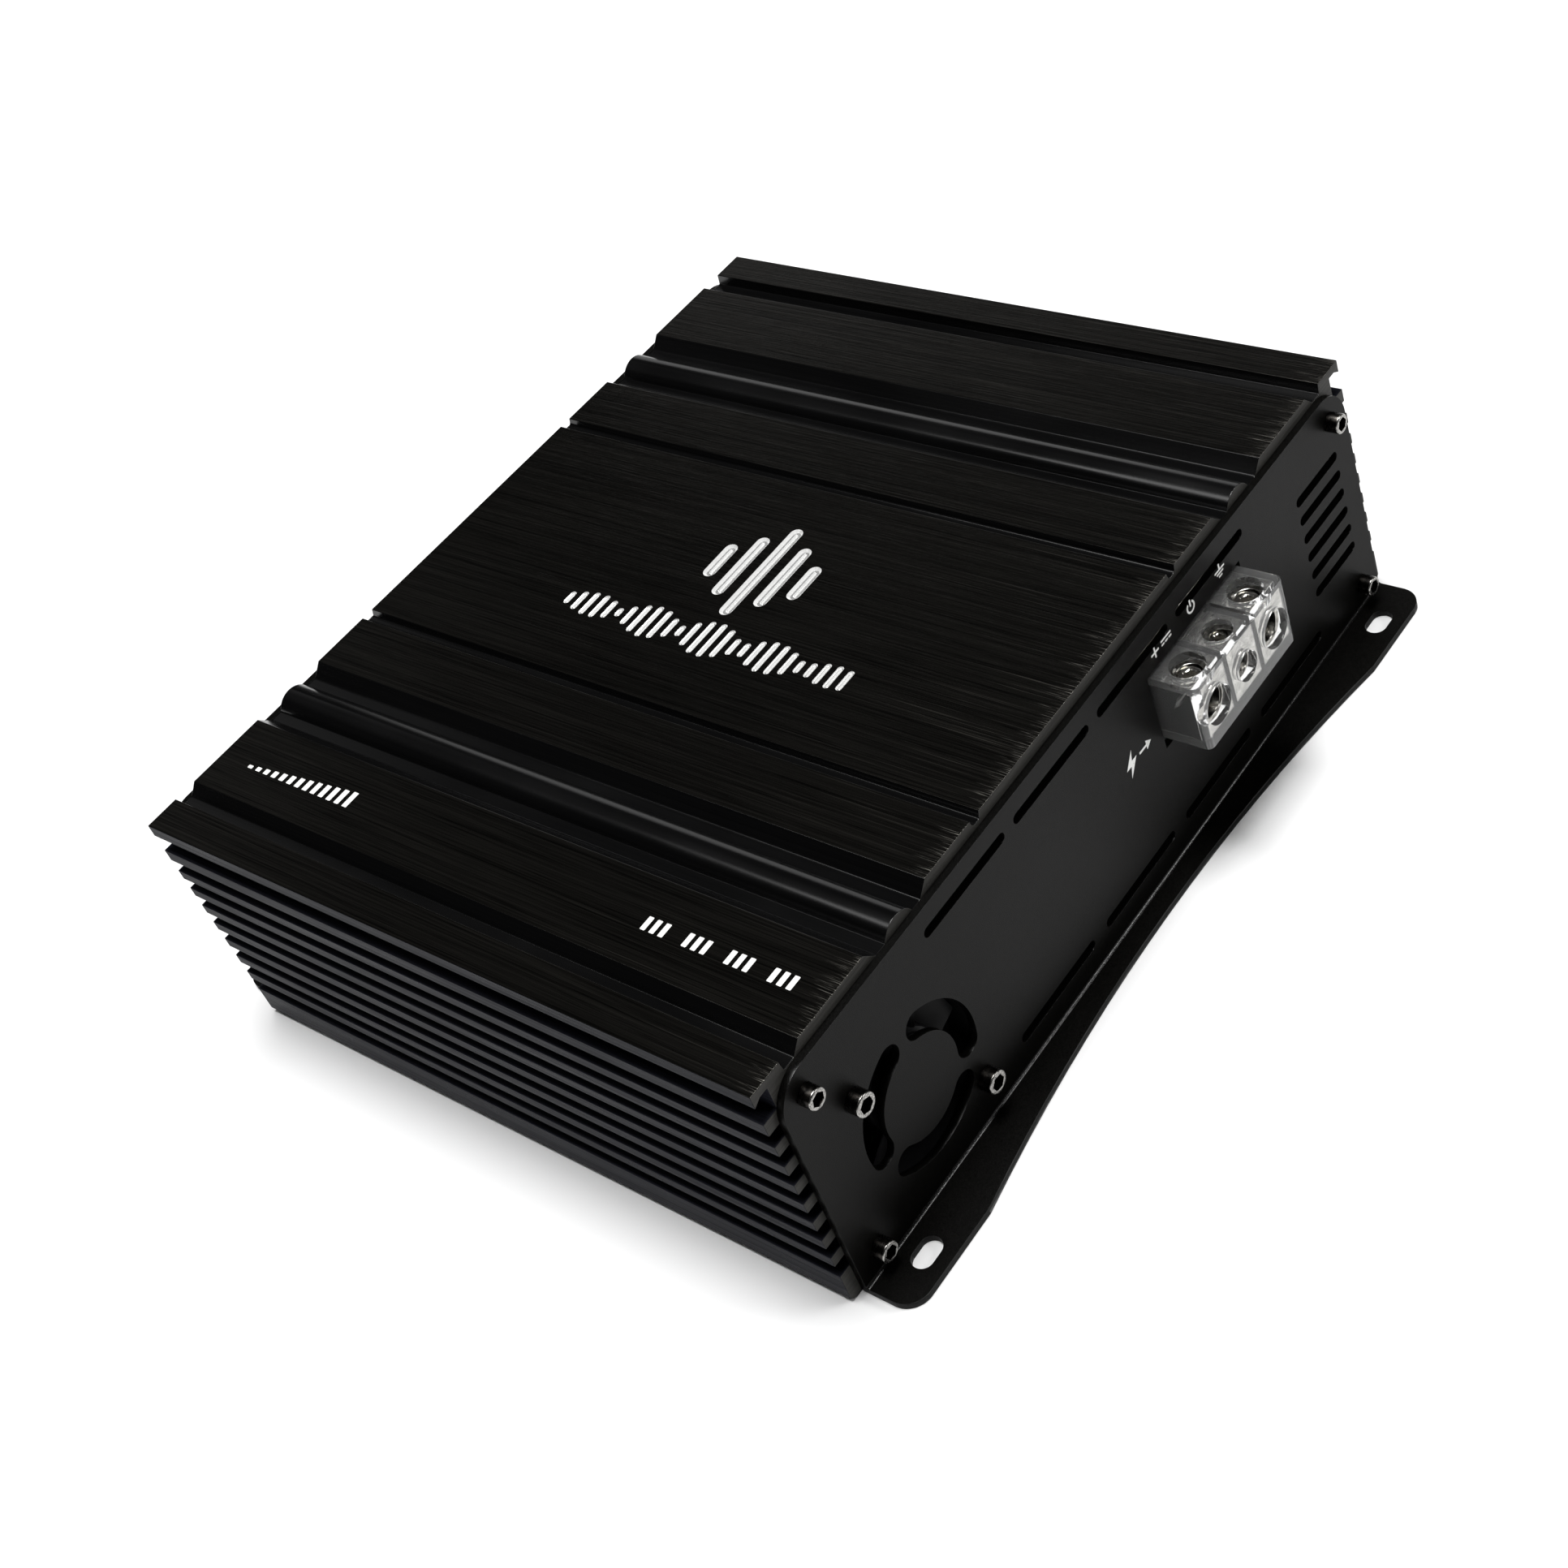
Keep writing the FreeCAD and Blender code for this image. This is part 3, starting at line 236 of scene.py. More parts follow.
def coated_steel():
    """End plates and cover: fine satin black powder coat."""
    look = Look("coated_steel", (0.0018, 0.0017, 0.0015), 0.32, 0.0)
    facing = look.add("ShaderNodeLayerWeight", {"Blend": 0.5}).outputs["Facing"]
    grain = look.noise(4200, 2.0, 0.7)
    waves = look.noise(420, 2.0)
    clouds = look.noise(18, 2.0)
    tone = look.spread(grain, 0.38, 0.66)
    look.feed("Base Color", look.mix(tone, (0.0004, 0.0004, 0.0003), (0.0046, 0.0044, 0.0039)))
    slant = look.math("MULTIPLY", look.normal("Y"), look.normal("Z"))
    fold = look.spread(look.math("ABSOLUTE", slant, 0.0), 0.12, 0.40)
    sheen = look.spread(facing, 0.40, 0.60, 0.078, 0.030)
    look.feed("Specular IOR Level", look.math("ADD", sheen, look.math("MULTIPLY", fold, 0.5)))
    matt = look.spread(clouds, 0.3, 0.7, 0.28, 0.36)
    look.feed("Roughness", look.math("SUBTRACT", matt, look.math("MULTIPLY", fold, 0.08)))
    look.bump((grain, 0.00005), (waves, 0.000012))
    return look.material


def black_oxide():
    """Screw sides and sockets."""
    look = Look("black_oxide", (0.030, 0.028, 0.026), 0.26, 1.0)
    wear = look.noise(900, 3.0)
    rubbed = look.spread(wear, 0.35, 0.8)
    look.feed("Base Color", look.mix(rubbed, (0.022, 0.021, 0.020), (0.055, 0.050, 0.044)))
    look.feed("Roughness", look.spread(wear, 0.3, 0.7, 0.20, 0.32))
    return look.material


def worn_steel():
    """Screw rims where the black has rubbed off."""
    look = Look("worn_steel", (0.30, 0.29, 0.275), 0.24, 1.0)
    scratches = look.noise(2400, 3.0, 0.65)
    bare = look.spread(scratches, 0.34, 0.62)
    look.feed("Base Color", look.mix(bare, (0.10, 0.097, 0.092), (0.44, 0.43, 0.41)))
    look.feed("Roughness", look.spread(scratches, 0.3, 0.7, 0.32, 0.18))
    look.bump((scratches, 0.00003))
    return look.material


def plain_metal(name, color, roughness):
    """Plated metal with faint handling marks."""
    look = Look(name, color, roughness, 1.0)
    marks = look.noise(700, 3.0, 0.6)
    darker = tuple(part * 0.78 for part in color)
    look.feed("Base Color", look.mix(look.spread(marks, 0.3, 0.6), darker, color))
    look.feed("Roughness", look.spread(marks, 0.3, 0.7, roughness * 0.7, roughness * 1.3))
    look.bump((look.noise(2600, 2.0), 0.000006))
    return look.material


def contact_metal():
    """Terminal blocks: plated faces, with painted shade on the faces that point along X."""
    look = Look("contact_metal", (0.62, 0.60, 0.56), 0.16, 1.0)
    plated = look.spread(look.math("ABSOLUTE", look.normal("X"), 0.0), 0.55, 0.85, 1.0, 0.0)
    marks = look.noise(520, 4.0, 0.7)
    bright = look.mix(look.spread(marks, 0.36, 0.62), (0.27, 0.262, 0.24), (0.60, 0.585, 0.55))
    # Painted shade: faces that point along X get the dark colour; plated marks the faces that keep the
    # bright one.
    look.feed("Base Color", look.mix(plated, (0.05, 0.049, 0.046), bright))
    look.feed("Roughness", look.spread(marks, 0.3, 0.7, 0.12, 0.24))
    return look.material


def moulded(name, color, roughness, gloss=0.5):
    """Moulded plastic with a fine surface grain."""
    look = Look(name, color, roughness, 0.0, {"Specular IOR Level": gloss})
    mottle = look.noise(260, 3.0)
    lighter = tuple(min(part * 1.4 + 0.001, 1.0) for part in color)
    look.feed("Base Color", look.mix(look.spread(mottle, 0.3, 0.7), color, lighter))
    look.feed("Roughness", look.spread(mottle, 0.3, 0.7, roughness * 0.85, roughness * 1.15))
    look.bump((look.noise(5200, 2.0), 0.00001))
    return look.material


def clear_acrylic():
    """The power terminal block: polished clear plastic with a faint haze and moulding flow."""
    clear = {"Transmission Weight": 0.95, "IOR": 1.45}
    look = Look("clear_acrylic", (0.96, 0.965, 0.96), 0.02, 0.0, clear)
    flow = look.noise((90, 90, 200), 2.0)
    haze = look.noise(150, 3.0)
    cloud = look.spread(haze, 0.3, 0.7)
    look.feed("Base Color", look.mix(cloud, (0.93, 0.935, 0.93), (0.985, 0.985, 0.98)))
    look.feed("Roughness", look.spread(haze, 0.3, 0.7, 0.0, 0.035))
    look.bump((flow, 0.00002))
    return look.material


def circuit_green():
    """Solder mask over copper tracks."""
    look = Look("circuit_green", (0.012, 0.09, 0.035), 0.32)
    cells = look.add(
        "ShaderNodeTexVoronoi", {"Vector": look.stretched((240, 240, 240)), "Scale": 1.0},
        feature="DISTANCE_TO_EDGE",
    )
    tracks = look.spread(cells.outputs["Distance"], 0.05, 0.07)
    look.feed("Base Color", look.mix(tracks, (0.03, 0.16, 0.06), (0.010, 0.075, 0.030)))
    look.bump((tracks, 0.00003))
    return look.material


def copper_winding():
    """Enamelled wire laid in close turns, with painted shade in the valleys between turns."""
    look = Look("copper_winding", (0.45, 0.16, 0.06), 0.28, 0.9)
    turns = look.add("ShaderNodeTexWave", {"Vector": look.place, "Scale": 180.0, "Distortion": 1.5})
    # Painted shade: the base colour darkens where the bump sinks between turns.
    look.feed("Base Color", look.mix(turns.outputs["Fac"], (0.16, 0.05, 0.02), (0.62, 0.25, 0.10)))
    look.bump((turns.outputs["Fac"], 0.0003))
    return look.material


def sleeve():
    """Capacitor shrink sleeve, with painted light on the wrinkle crests and painted shade in their
    hollows.
    """
    look = Look("capacitor_sleeve", (0.015, 0.016, 0.03), 0.3)
    wrinkles = look.noise((900, 900, 80), 2.0)
    crest = look.spread(wrinkles, 0.3, 0.7)
    # Painted light and shade: the base colour follows the wrinkle bump, lighter on crests, darker in
    # hollows.
    look.feed("Base Color", look.mix(crest, (0.012, 0.013, 0.026), (0.02, 0.021, 0.038)))
    look.feed("Roughness", look.spread(wrinkles, 0.3, 0.7, 0.22, 0.42))
    look.bump((wrinkles, 0.00005))
    return look.material


def printed_ink():
    """White screen print, slightly uneven."""
    look = Look("printed_ink", (0.80, 0.80, 0.78), 0.55)
    cover = look.noise(2400, 3.0, 0.6)
    solid = look.spread(cover, 0.26, 0.40)
    look.feed("Base Color", look.mix(solid, (0.40, 0.40, 0.39), (0.84, 0.84, 0.82)))
    return look.material


BRUSHED = brushed_anodised()
SMOOTH = smooth_anodised()
FIN = fin_anodised()
SAWN = sawn_anodised()
MILLED = milled_aluminium()
CHAMFER = chamfered_aluminium()
COATED = coated_steel()
OXIDE = black_oxide()
WORN = worn_steel()
INK = printed_ink()
NICKEL = plain_metal("nickel_plate", (0.64, 0.62, 0.575), 0.15)
CONTACT = contact_metal()
ZINC = plain_metal("zinc_steel", (0.58, 0.58, 0.56), 0.30)
BLACK_PLASTIC = moulded("black_plastic", (0.010, 0.010, 0.011), 0.42)
FAN_PLASTIC = moulded("fan_plastic", (0.003, 0.003, 0.0033), 0.42, 0.12)
WHITE_PLASTIC = moulded("white_plastic", (0.62, 0.62, 0.60), 0.40)
RED_PLASTIC = moulded("red_plastic", (0.45, 0.012, 0.010), 0.38)
LAMP_PLASTIC = moulded("lamp_plastic", (0.05, 0.16, 0.55), 0.18)

FINISHES = {
    "anodised_aluminium": SMOOTH,
    "coated_steel": COATED,
    "black_screw": OXIDE,
    "clear_plastic": clear_acrylic(),
    "plated_brass": NICKEL,
    "plated_steel": ZINC,
    "fan_plastic": FAN_PLASTIC,
    "black_plastic": BLACK_PLASTIC,
    "switch_plastic": WHITE_PLASTIC,
    "lamp_plastic": LAMP_PLASTIC,
    "circuit_board": circuit_green(),
    "thermal_pad": moulded("silicone_pad", (0.30, 0.31, 0.33), 0.7),
    "winding_copper": copper_winding(),
    "capacitor_sleeve": sleeve(),
}


# CAD nodes that keep their shape get rounded edges and a finish

SOFT_EDGES = {
    0.25: (
        "front_end_plate", "rear_end_plate", "bottom_cover", "power_terminal_housing",
        "power_contact_positive", "power_contact_remote", "power_contact_ground",
    ),
    0.15: (
        "fan_frame", "rca_housing_front", "rca_housing_rear", "speaker_terminal_housing",
        "speaker_terminal_plates",
    ),
}


def refine(node, edge):
    """Soften the edges of a CAD node by so many millimetres."""
    obj = NODES[node]
    weld = obj.modifiers.new("weld", "WELD")
    weld.merge_threshold = 0.02 * MM
    flat = obj.modifiers.new("flat_faces", "DECIMATE")
    flat.decimate_type = "DISSOLVE"
    flat.angle_limit = math.radians(1.0)
    bevel = obj.modifiers.new("soft_edges", "BEVEL")
    bevel.width = edge * MM
    bevel.segments = 2
    bevel.limit_method = "ANGLE"
    bevel.angle_limit = math.radians(40)
    bevel.harden_normals = True


def finish_cad_nodes():
    """Give every CAD node its slot's material."""
    slots = {part["node"]: part["material_slot"] for part in frame["record"]["subparts"]}
    for node, obj in NODES.items():
        obj.data.materials.clear()
        finish = CONTACT if node.startswith("power_contact") else FINISHES[slots[node]]
        obj.data.materials.append(finish)


def limits(node):
    """A node's limits in millimetres: x low, x high, y low, y high, z low, z high."""
    low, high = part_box(node)
    return [value / MM for pair in zip(low, high) for value in pair]


# New pieces

SHARP_ANGLE = math.radians(35)


def as_object(name, mesh_data, materials, body, replaced=()):
    """A piece from a bmesh: it rides on a body and stands for the replaced CAD nodes."""
    mesh = bpy.data.meshes.new(name)
    bmesh.ops.recalc_face_normals(mesh_data, faces=mesh_data.faces)
    mesh_data.to_mesh(mesh)
    mesh_data.free()
    for material in materials:
        mesh.materials.append(material)
    mesh.shade_smooth()
    mesh.set_sharp_from_angle(angle=SHARP_ANGLE)
    obj = bpy.data.objects.new(name, mesh)
    bpy.context.scene.collection.objects.link(obj)
    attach(obj, body)
    if replaced:
        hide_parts(*replaced)
    return obj


def apply_modifiers(obj):
    """Replace a piece's mesh by what its modifiers make of it."""
    final = obj.evaluated_get(bpy.context.evaluated_depsgraph_get())
    obj.data = bpy.data.meshes.new_from_object(final)
    obj.modifiers.clear()


AXES = {
    "+Y": Matrix.Rotation(math.radians(-90), 4, "X"),
    "-Y": Matrix.Rotation(math.radians(90), 4, "X"),
    "+Z": Matrix.Identity(4),
    "-Z": Matrix.Rotation(math.radians(180), 4, "X"),
}


def at(x, y, z, facing="+Z", spin=0.0):
    """A place in millimetres, with the local Z axis facing along a row axis and turned by degrees."""
    turned = Matrix.Rotation(math.radians(spin), 4, "Z")
    return Matrix.Translation(Vector((x, y, z)) * MM) @ AXES[facing] @ turned


def radius_on(shape, radius, angle):
    """Distance from the axis of a ring point. A hexagon's radius is half its width across flats."""
    if shape == "hexagon":
        return radius / math.cos((angle + math.pi / 6) % (math.pi / 3) - math.pi / 6)
    if shape == "fluted":
        return radius * (1 - 0.10 * max(0.0, math.cos(12 * angle)) ** 1.5)
    return radius


def lathe(mesh_data, profile, matrix, segments=48, closed=False):
    """Turn a profile of (radius, height, material, shape) in millimetres. Radius 0 is a point.

    A material left out is the first one, and a shape left out is round.
    """
    profile = [(*point, *(0, "round")[len(point) - 2:]) for point in profile]
    rings = []
    for radius, height, _, shape in profile:
        if radius == 0:
            rings.append([mesh_data.verts.new(matrix @ Vector((0, 0, height * MM)))])
            continue
        ring = []
        for step in range(segments):
            angle = 2 * math.pi * step / segments
            reach = radius_on(shape, radius, angle) * MM
            point = Vector((reach * math.cos(angle), reach * math.sin(angle), height * MM))
            ring.append(mesh_data.verts.new(matrix @ point))
        rings.append(ring)
    pairs = list(zip(rings, rings[1:], profile[1:]))
    if closed:
        pairs.append((rings[-1], rings[0], profile[0]))
    for first, second, (_, _, material, _) in pairs:
        for step in range(segments):
            following = (step + 1) % segments
            if len(first) == 1:
                corners = (first[0], second[step], second[following])
            elif len(second) == 1:
                corners = (first[step], first[following], second[0])
            else:
                corners = (first[step], first[following], second[following], second[step])
            mesh_data.faces.new(corners).material_index = material


def prism(mesh_data, corners, low, high, matrix, material=0):
    """A flat shape given by its corners in millimetres, raised from low to high along local Z."""
    rings = [
        [mesh_data.verts.new(matrix @ (Vector((x, y, height)) * MM)) for x, y in corners]
        for height in (low, high)
    ]
    count = len(corners)
    for step in range(count):
        following = (step + 1) % count
        side = (rings[0][step], rings[0][following], rings[1][following], rings[1][step])
        mesh_data.faces.new(side).material_index = material
    mesh_data.faces.new(list(reversed(rings[0]))).material_index = material
    mesh_data.faces.new(rings[1]).material_index = material


def rounded_corners(centre, size, corner, steps=5):
    """The outline of a rectangle with round corners."""
    half_x = size[0] / 2
    half_y = size[1] / 2
    points = []
    for quarter, (side_x, side_y) in enumerate(((1, 1), (-1, 1), (-1, -1), (1, -1))):
        for step in range(steps + 1):
            angle = math.radians(90 * quarter + 90 * step / steps)
            points.append((
                centre[0] + side_x * (half_x - corner) + corner * math.cos(angle),
                centre[1] + side_y * (half_y - corner) + corner * math.sin(angle),
            ))
    return points


# Screws

HEX_CORNER = 1.155


def socket_screw(head, height, shank, length, key):
    """A socket head screw standing on its seat: black sides (0) and worn rim (1)."""
    edge = 0.36
    corner = key * HEX_CORNER + 0.16
    return [
        (0, -length),
        (shank - 0.2, -length),
        (shank, -length + 0.2),
        (shank, 0),
        (head - 0.08, 0),
        (head, 0.08),
        (head, height - edge),
        (head - edge * 0.16, height - edge * 0.5, 1),
        (head - edge * 0.5, height - edge * 0.16, 1),
        (head - edge, height, 1),
        (corner, height, 1),
        (key + 0.06, height - 0.03, 1, "hexagon"),
        (key, height - 0.16, 0, "hexagon"),
        (key, height - 1.7, 0, "hexagon"),
        (0, height - 2.1),
    ]


HEAD_HEIGHT = 3.3
SHANK_RADIUS = 1.25


def make_plate_screws():
    """The machine screws of the end plates and the fan."""
    turn = 0
    for node, facing in (("front_plate_screws", "-Y"), ("rear_plate_screws", "+Y")):
        x_low, x_high, y_low, y_high, z_low, z_high = limits(node)
        head = 2.4
        seat = y_low + HEAD_HEIGHT if facing == "-Y" else y_high - HEAD_HEIGHT
        data = bmesh.new()
        for x in (x_low + head, x_high - head):
            for z in (z_low + head, z_high - head):
                turn += 1
                profile = socket_screw(head, HEAD_HEIGHT, SHANK_RADIUS, 12.0, 1.45)
                lathe(data, profile, at(x, seat, z, facing, 23 * turn))
        as_object(f"{node}_turned", data, [OXIDE, WORN], CHASSIS, [node])
    x_low, x_high, y_low, y_high, z_low, z_high = limits("fan_screws")
    head = 2.75
    data = bmesh.new()
    for x, z, spin in ((x_low + head, z_high - head, 8), (x_high - head, z_low + head, 20)):
        profile = socket_screw(head, HEAD_HEIGHT, SHANK_RADIUS, y_high - y_low - HEAD_HEIGHT, 1.6)
        lathe(data, profile, at(x, y_low + HEAD_HEIGHT, z, "-Y", spin))
    as_object("fan_screws_turned", data, [OXIDE, WORN], CHASSIS, ["fan_screws"])


def make_cover_screws():
    """Countersunk screws in the bottom cover."""
    x_low, x_high, y_low, y_high, z_low, z_high = limits("cover_screws")
    head = 2.55
    data = bmesh.new()
    profile = [
        (0, -z_high),
        (1.2, -z_high),
        (1.2, -1.35),
        (head, -0.12),
        (head - 0.08, 0, 1),
        (1.25, 0, 1),
        (0.97, -0.05, 1, "hexagon"),
        (0.95, -0.9, 0, "hexagon"),
        (0, -1.05),
    ]
    middle = 27.0
    places = [
        (x, y) for x in (x_low + head, x_high - head)
        for y in (y_low + head, -middle, middle, y_high - head)
    ]
    for x, y in places:
        lathe(data, profile, at(x, y, z_low, "-Z", 3 * y))
    as_object("cover_screws_turned", data, [OXIDE, WORN], CHASSIS, ["cover_screws"])


def make_clamping_screws():
    """The plated set screws in the wells of the power terminals."""
    for pole, radius, key in (("positive", 2.95, 1.5), ("remote", 1.95, 1.0), ("ground", 2.95, 1.5)):
        node = f"power_screw_{pole}"
        x_low, x_high, y_low, y_high, z_low, z_high = limits(node)
        threads = []
        pitch = 0.5
        count = int((z_high - z_low - 0.6) / pitch)
        for number in range(count):
            threads += [
                (radius - 0.22, z_low + 0.3 + pitch * number),
                (radius, z_low + 0.3 + pitch * (number + 0.5)),
            ]
        data = bmesh.new()
        profile = [
            (0, z_low),
            (radius - 0.4, z_low),
            *threads,
            (radius - 0.05, z_high - 0.25),
            (radius - 0.3, z_high),
            (key * HEX_CORNER + 0.12, z_high),
            (key, z_high - 0.15, 0, "hexagon"),
            (key, z_high - 2.0, 0, "hexagon"),
            (0, z_high - 2.3),
        ]
        centre = at((x_low + x_high) / 2, (y_low + y_high) / 2, 0)
        lathe(data, profile, centre)
        as_object(f"{node}_turned", data, [NICKEL], f"{pole}_screw", [node])


# The extruded heatsink

def rounded(points):
    """Replace each corner that carries a radius by an arc."""
    result = []
    for number, point in enumerate(points):
        if len(point) == 2:
            result.append(point)
            continue
        corner = Vector(point[:2])
        before = (Vector(points[number - 1][:2]) - corner).normalized()
        after = (Vector(points[number + 1][:2]) - corner).normalized()
        half = before.angle(after) / 2
        centre = corner + (before + after).normalized() * point[2] / math.sin(half)
        start = corner + before * point[2] / math.tan(half) - centre
        turn = before.cross(after)
        sweep = math.copysign(math.pi - 2 * half, -turn)
        steps = 6
        for step in range(steps + 1):
            spoke = centre + Matrix.Rotation(sweep * step / steps, 2) @ start
            result.append((spoke.x, spoke.y))
    return result


def half_profile():
    """Half of the section in millimetres from the centre line: top, side fins, rail, inside."""
    _, tip, _, _, rail, top = limits("heatsink_shell")
    bead_centre = 65.8
    bead_half = 4.65
    bead_rise = 3.1
    bead_radius = (bead_half ** 2 + bead_rise ** 2) / (2 * bead_rise)
    sweep = math.asin(bead_half / bead_radius)
    bead_steps = 32
    bead = []
    for step in range(bead_steps + 1):
        angle = -sweep + 2 * sweep * step / bead_steps
        across = bead_centre + bead_radius * math.sin(angle)
        bead.append((across, top - bead_radius * (1 - math.cos(angle))))
    root = 105.0
    fin_pitch = 6.07
    fin_thickness = 2.9
    points = rounded([
        (36.4, top), (36.9, top - 1.8, 0.5), (39.2, top - 1.8, 1.1), (39.7, top),
        (55.5, top), (58.5, top - bead_rise, 0.8), *bead, (73.5, top - bead_rise, 0.8), (76.5, top),
        (97.6, top), (100.1, top - 2.7, 0.5), (103.2, top - 2.7, 0.3), (103.6, top),
        (tip, top), (tip, top - 3.4), (tip - 2, top - 2.2), (108.3, top - 2.2),
        (108.3, top - 8.3), (tip, top - 8.3), (tip, top - 11.8), (root, top - 11.8),
    ])
    for number in range(7):
        fin_top = top - 15.3 - fin_pitch * number
        fin_base = fin_top - fin_thickness
        points += [(root, fin_top), (tip, fin_top), (tip, fin_base), (root, fin_base)]
    points += [
        (root, 9.0), (tip, 9.0), (tip, rail + 1.5), (tip - 1.5, rail),
        (97.9, rail), (97.9, rail + 1.5), (91.0, rail + 1.5), (91.0, 6.8), (98.5, 6.8), (98.5, 11.2),
        (101.0, 13.7), (101.0, 52.7), (98.5, 55.2), (98.5, 58.7), (96.5, 60.7),
    ]
    return points


SHELL_FINISHES = [BRUSHED, SMOOTH, MILLED, INK, FIN, SAWN, CHAMFER]
PANEL_FACE, PLAIN_FACE, MILLED_FACE, INK_FACE, FIN_FACE, SAWN_FACE, CHAMFER_FACE = range(7)
LEVEL_BARS = [10.0, 19.0, 29.0, 19.0, 10.0]


def bar_cutter(mesh_data, centre, size, top, depth, corner, slope):
    """A cutter for one milled bar: sloping sides, a flat floor and a raised line along its middle."""
    ridge = 0.14 - size[1] / 2
    # The sides and the raised middle line take the chamfer finish, whose near white colour is a painted
    # highlight.
    levels = [
        (0.4, slope, CHAMFER_FACE), (0.0, slope, CHAMFER_FACE), (-depth, 0.0, CHAMFER_FACE),
        (-depth, ridge * 0.75, MILLED_FACE), (-depth / 4, ridge, CHAMFER_FACE),
    ]
    stepped_cutter(mesh_data, centre, size, top, corner, levels)


def print_cutter(mesh_data, centre, size, top):
    """A very shallow cutter that only leaves ink."""
    levels = [(0.4, 0.01, INK_FACE), (0.0, 0.01, INK_FACE), (-0.03, 0.0, INK_FACE)]
    stepped_cutter(mesh_data, centre, size, top, 0.2, levels)


def stepped_cutter(mesh_data, centre, size, top, corner, levels):
    """A closed stack of rings from (height, growth, material of the wall above it) levels."""
    rings = []
    for height, grow, _ in levels:
        grown = (size[0] + 2 * grow, size[1] + 2 * grow)
        outline = rounded_corners(centre, grown, max(corner + grow, 0.05))
        rings.append([mesh_data.verts.new(Vector((x, y, top + height)) * MM) for x, y in outline])
    count = len(rings[0])
    for upper, lower, (_, _, material) in zip(rings, rings[1:], levels[1:]):
        for step in range(count):
            following = (step + 1) % count
            side = (upper[step], upper[following], lower[following], lower[step])
            mesh_data.faces.new(side).material_index = material
    mesh_data.faces.new(rings[0]).material_index = levels[0][2]
    mesh_data.faces.new(list(reversed(rings[-1]))).material_index = levels[-1][2]


def make_marks(top):
    """The cutter for the marks: level bars, a row of wave bars, and two small printed scales."""
    data = bmesh.new()
    pitch = 6.4
    for number, height in enumerate(LEVEL_BARS):
        y = (len(LEVEL_BARS) // 2 - number) * pitch
        bar_cutter(data, (7.6, y), (height, 2.1), top, 0.55, 1.0, 0.7)
    wave_count = 27
    wave_end = 42.0
    for number in range(wave_count):
        share = number / (wave_count - 1)
        swell = abs(math.sin(share * math.pi * 4.5 + 0.4)) * (0.45 + 0.55 * math.sin(share * math.pi))
        height = 2.2 + 8.4 * swell
        y = wave_end - 2 * wave_end * share
        bar_cutter(data, (-15.4, y), (height, 1.15), top, 0.35, 0.55, 0.22)
    ramp_count = 13
    for number in range(ramp_count):
        height = 0.9 + 3.6 * number / (ramp_count - 1)
        y = 81.0 - 33.5 * number / (ramp_count - 1)
        print_cutter(data, (-89.0 + height / 2, y), (height, 1.5), top)
    for group in range(4):
        for step in range(3):
            y = -44.5 - 11.2 * group - 2.4 * step
            print_cutter(data, (-87.3, y), (3.5, 1.3), top)
    mesh = bpy.data.meshes.new("mark_cutter")
    bmesh.ops.recalc_face_normals(data, faces=data.faces)
    data.to_mesh(mesh)
    data.free()
    for material in SHELL_FINISHES:
        mesh.materials.append(material)
    return bpy.data.objects.new("mark_cutter", mesh)


def make_heatsink():
    """The extrusion as one clean mesh, engraved and printed."""
    _, _, y_low, y_high, _, top = limits("heatsink_shell")
    side = half_profile()
    outline = side + [(-x, z) for x, z in reversed(side)]
    data = bmesh.new()
    ends = [[data.verts.new(Vector((x, y, z)) * MM) for x, z in outline] for y in (y_low, y_high)]
    count = len(outline)
    for step in range(count):
        following = (step + 1) % count
        face = data.faces.new((ends[0][step], ends[0][following], ends[1][following], ends[1][step]))
        on_top = min(outline[step][1], outline[following][1]) > top - 0.01
        wide = abs(outline[step][0] - outline[following][0]) > 2.0
        beyond_strip = min(abs(outline[step][0]), abs(outline[following][0])) > 104.5
        face.material_index = PANEL_FACE if on_top and wide else FIN_FACE if beyond_strip else PLAIN_FACE
    for ring in ends:
        data.faces.new(ring).material_index = SAWN_FACE
    shell = as_object(
        "heatsink_extrusion", data, SHELL_FINISHES, CHASSIS, ["heatsink_shell"],
    )
    bevel = shell.modifiers.new("soft_edges", "BEVEL")
    bevel.width = 0.16 * MM
    bevel.segments = 2
    bevel.limit_method = "ANGLE"
    bevel.angle_limit = math.radians(28)
    bevel.harden_normals = True
    cutter = make_marks(top)
    bpy.context.scene.collection.objects.link(cutter)
    cut = shell.modifiers.new("marks", "BOOLEAN")
    cut.operation = "DIFFERENCE"
    cut.solver = "EXACT"
    cut.material_mode = "TRANSFER"
    cut.object = cutter
    apply_modifiers(shell)
    bpy.data.objects.remove(cutter)


# Cooling fan

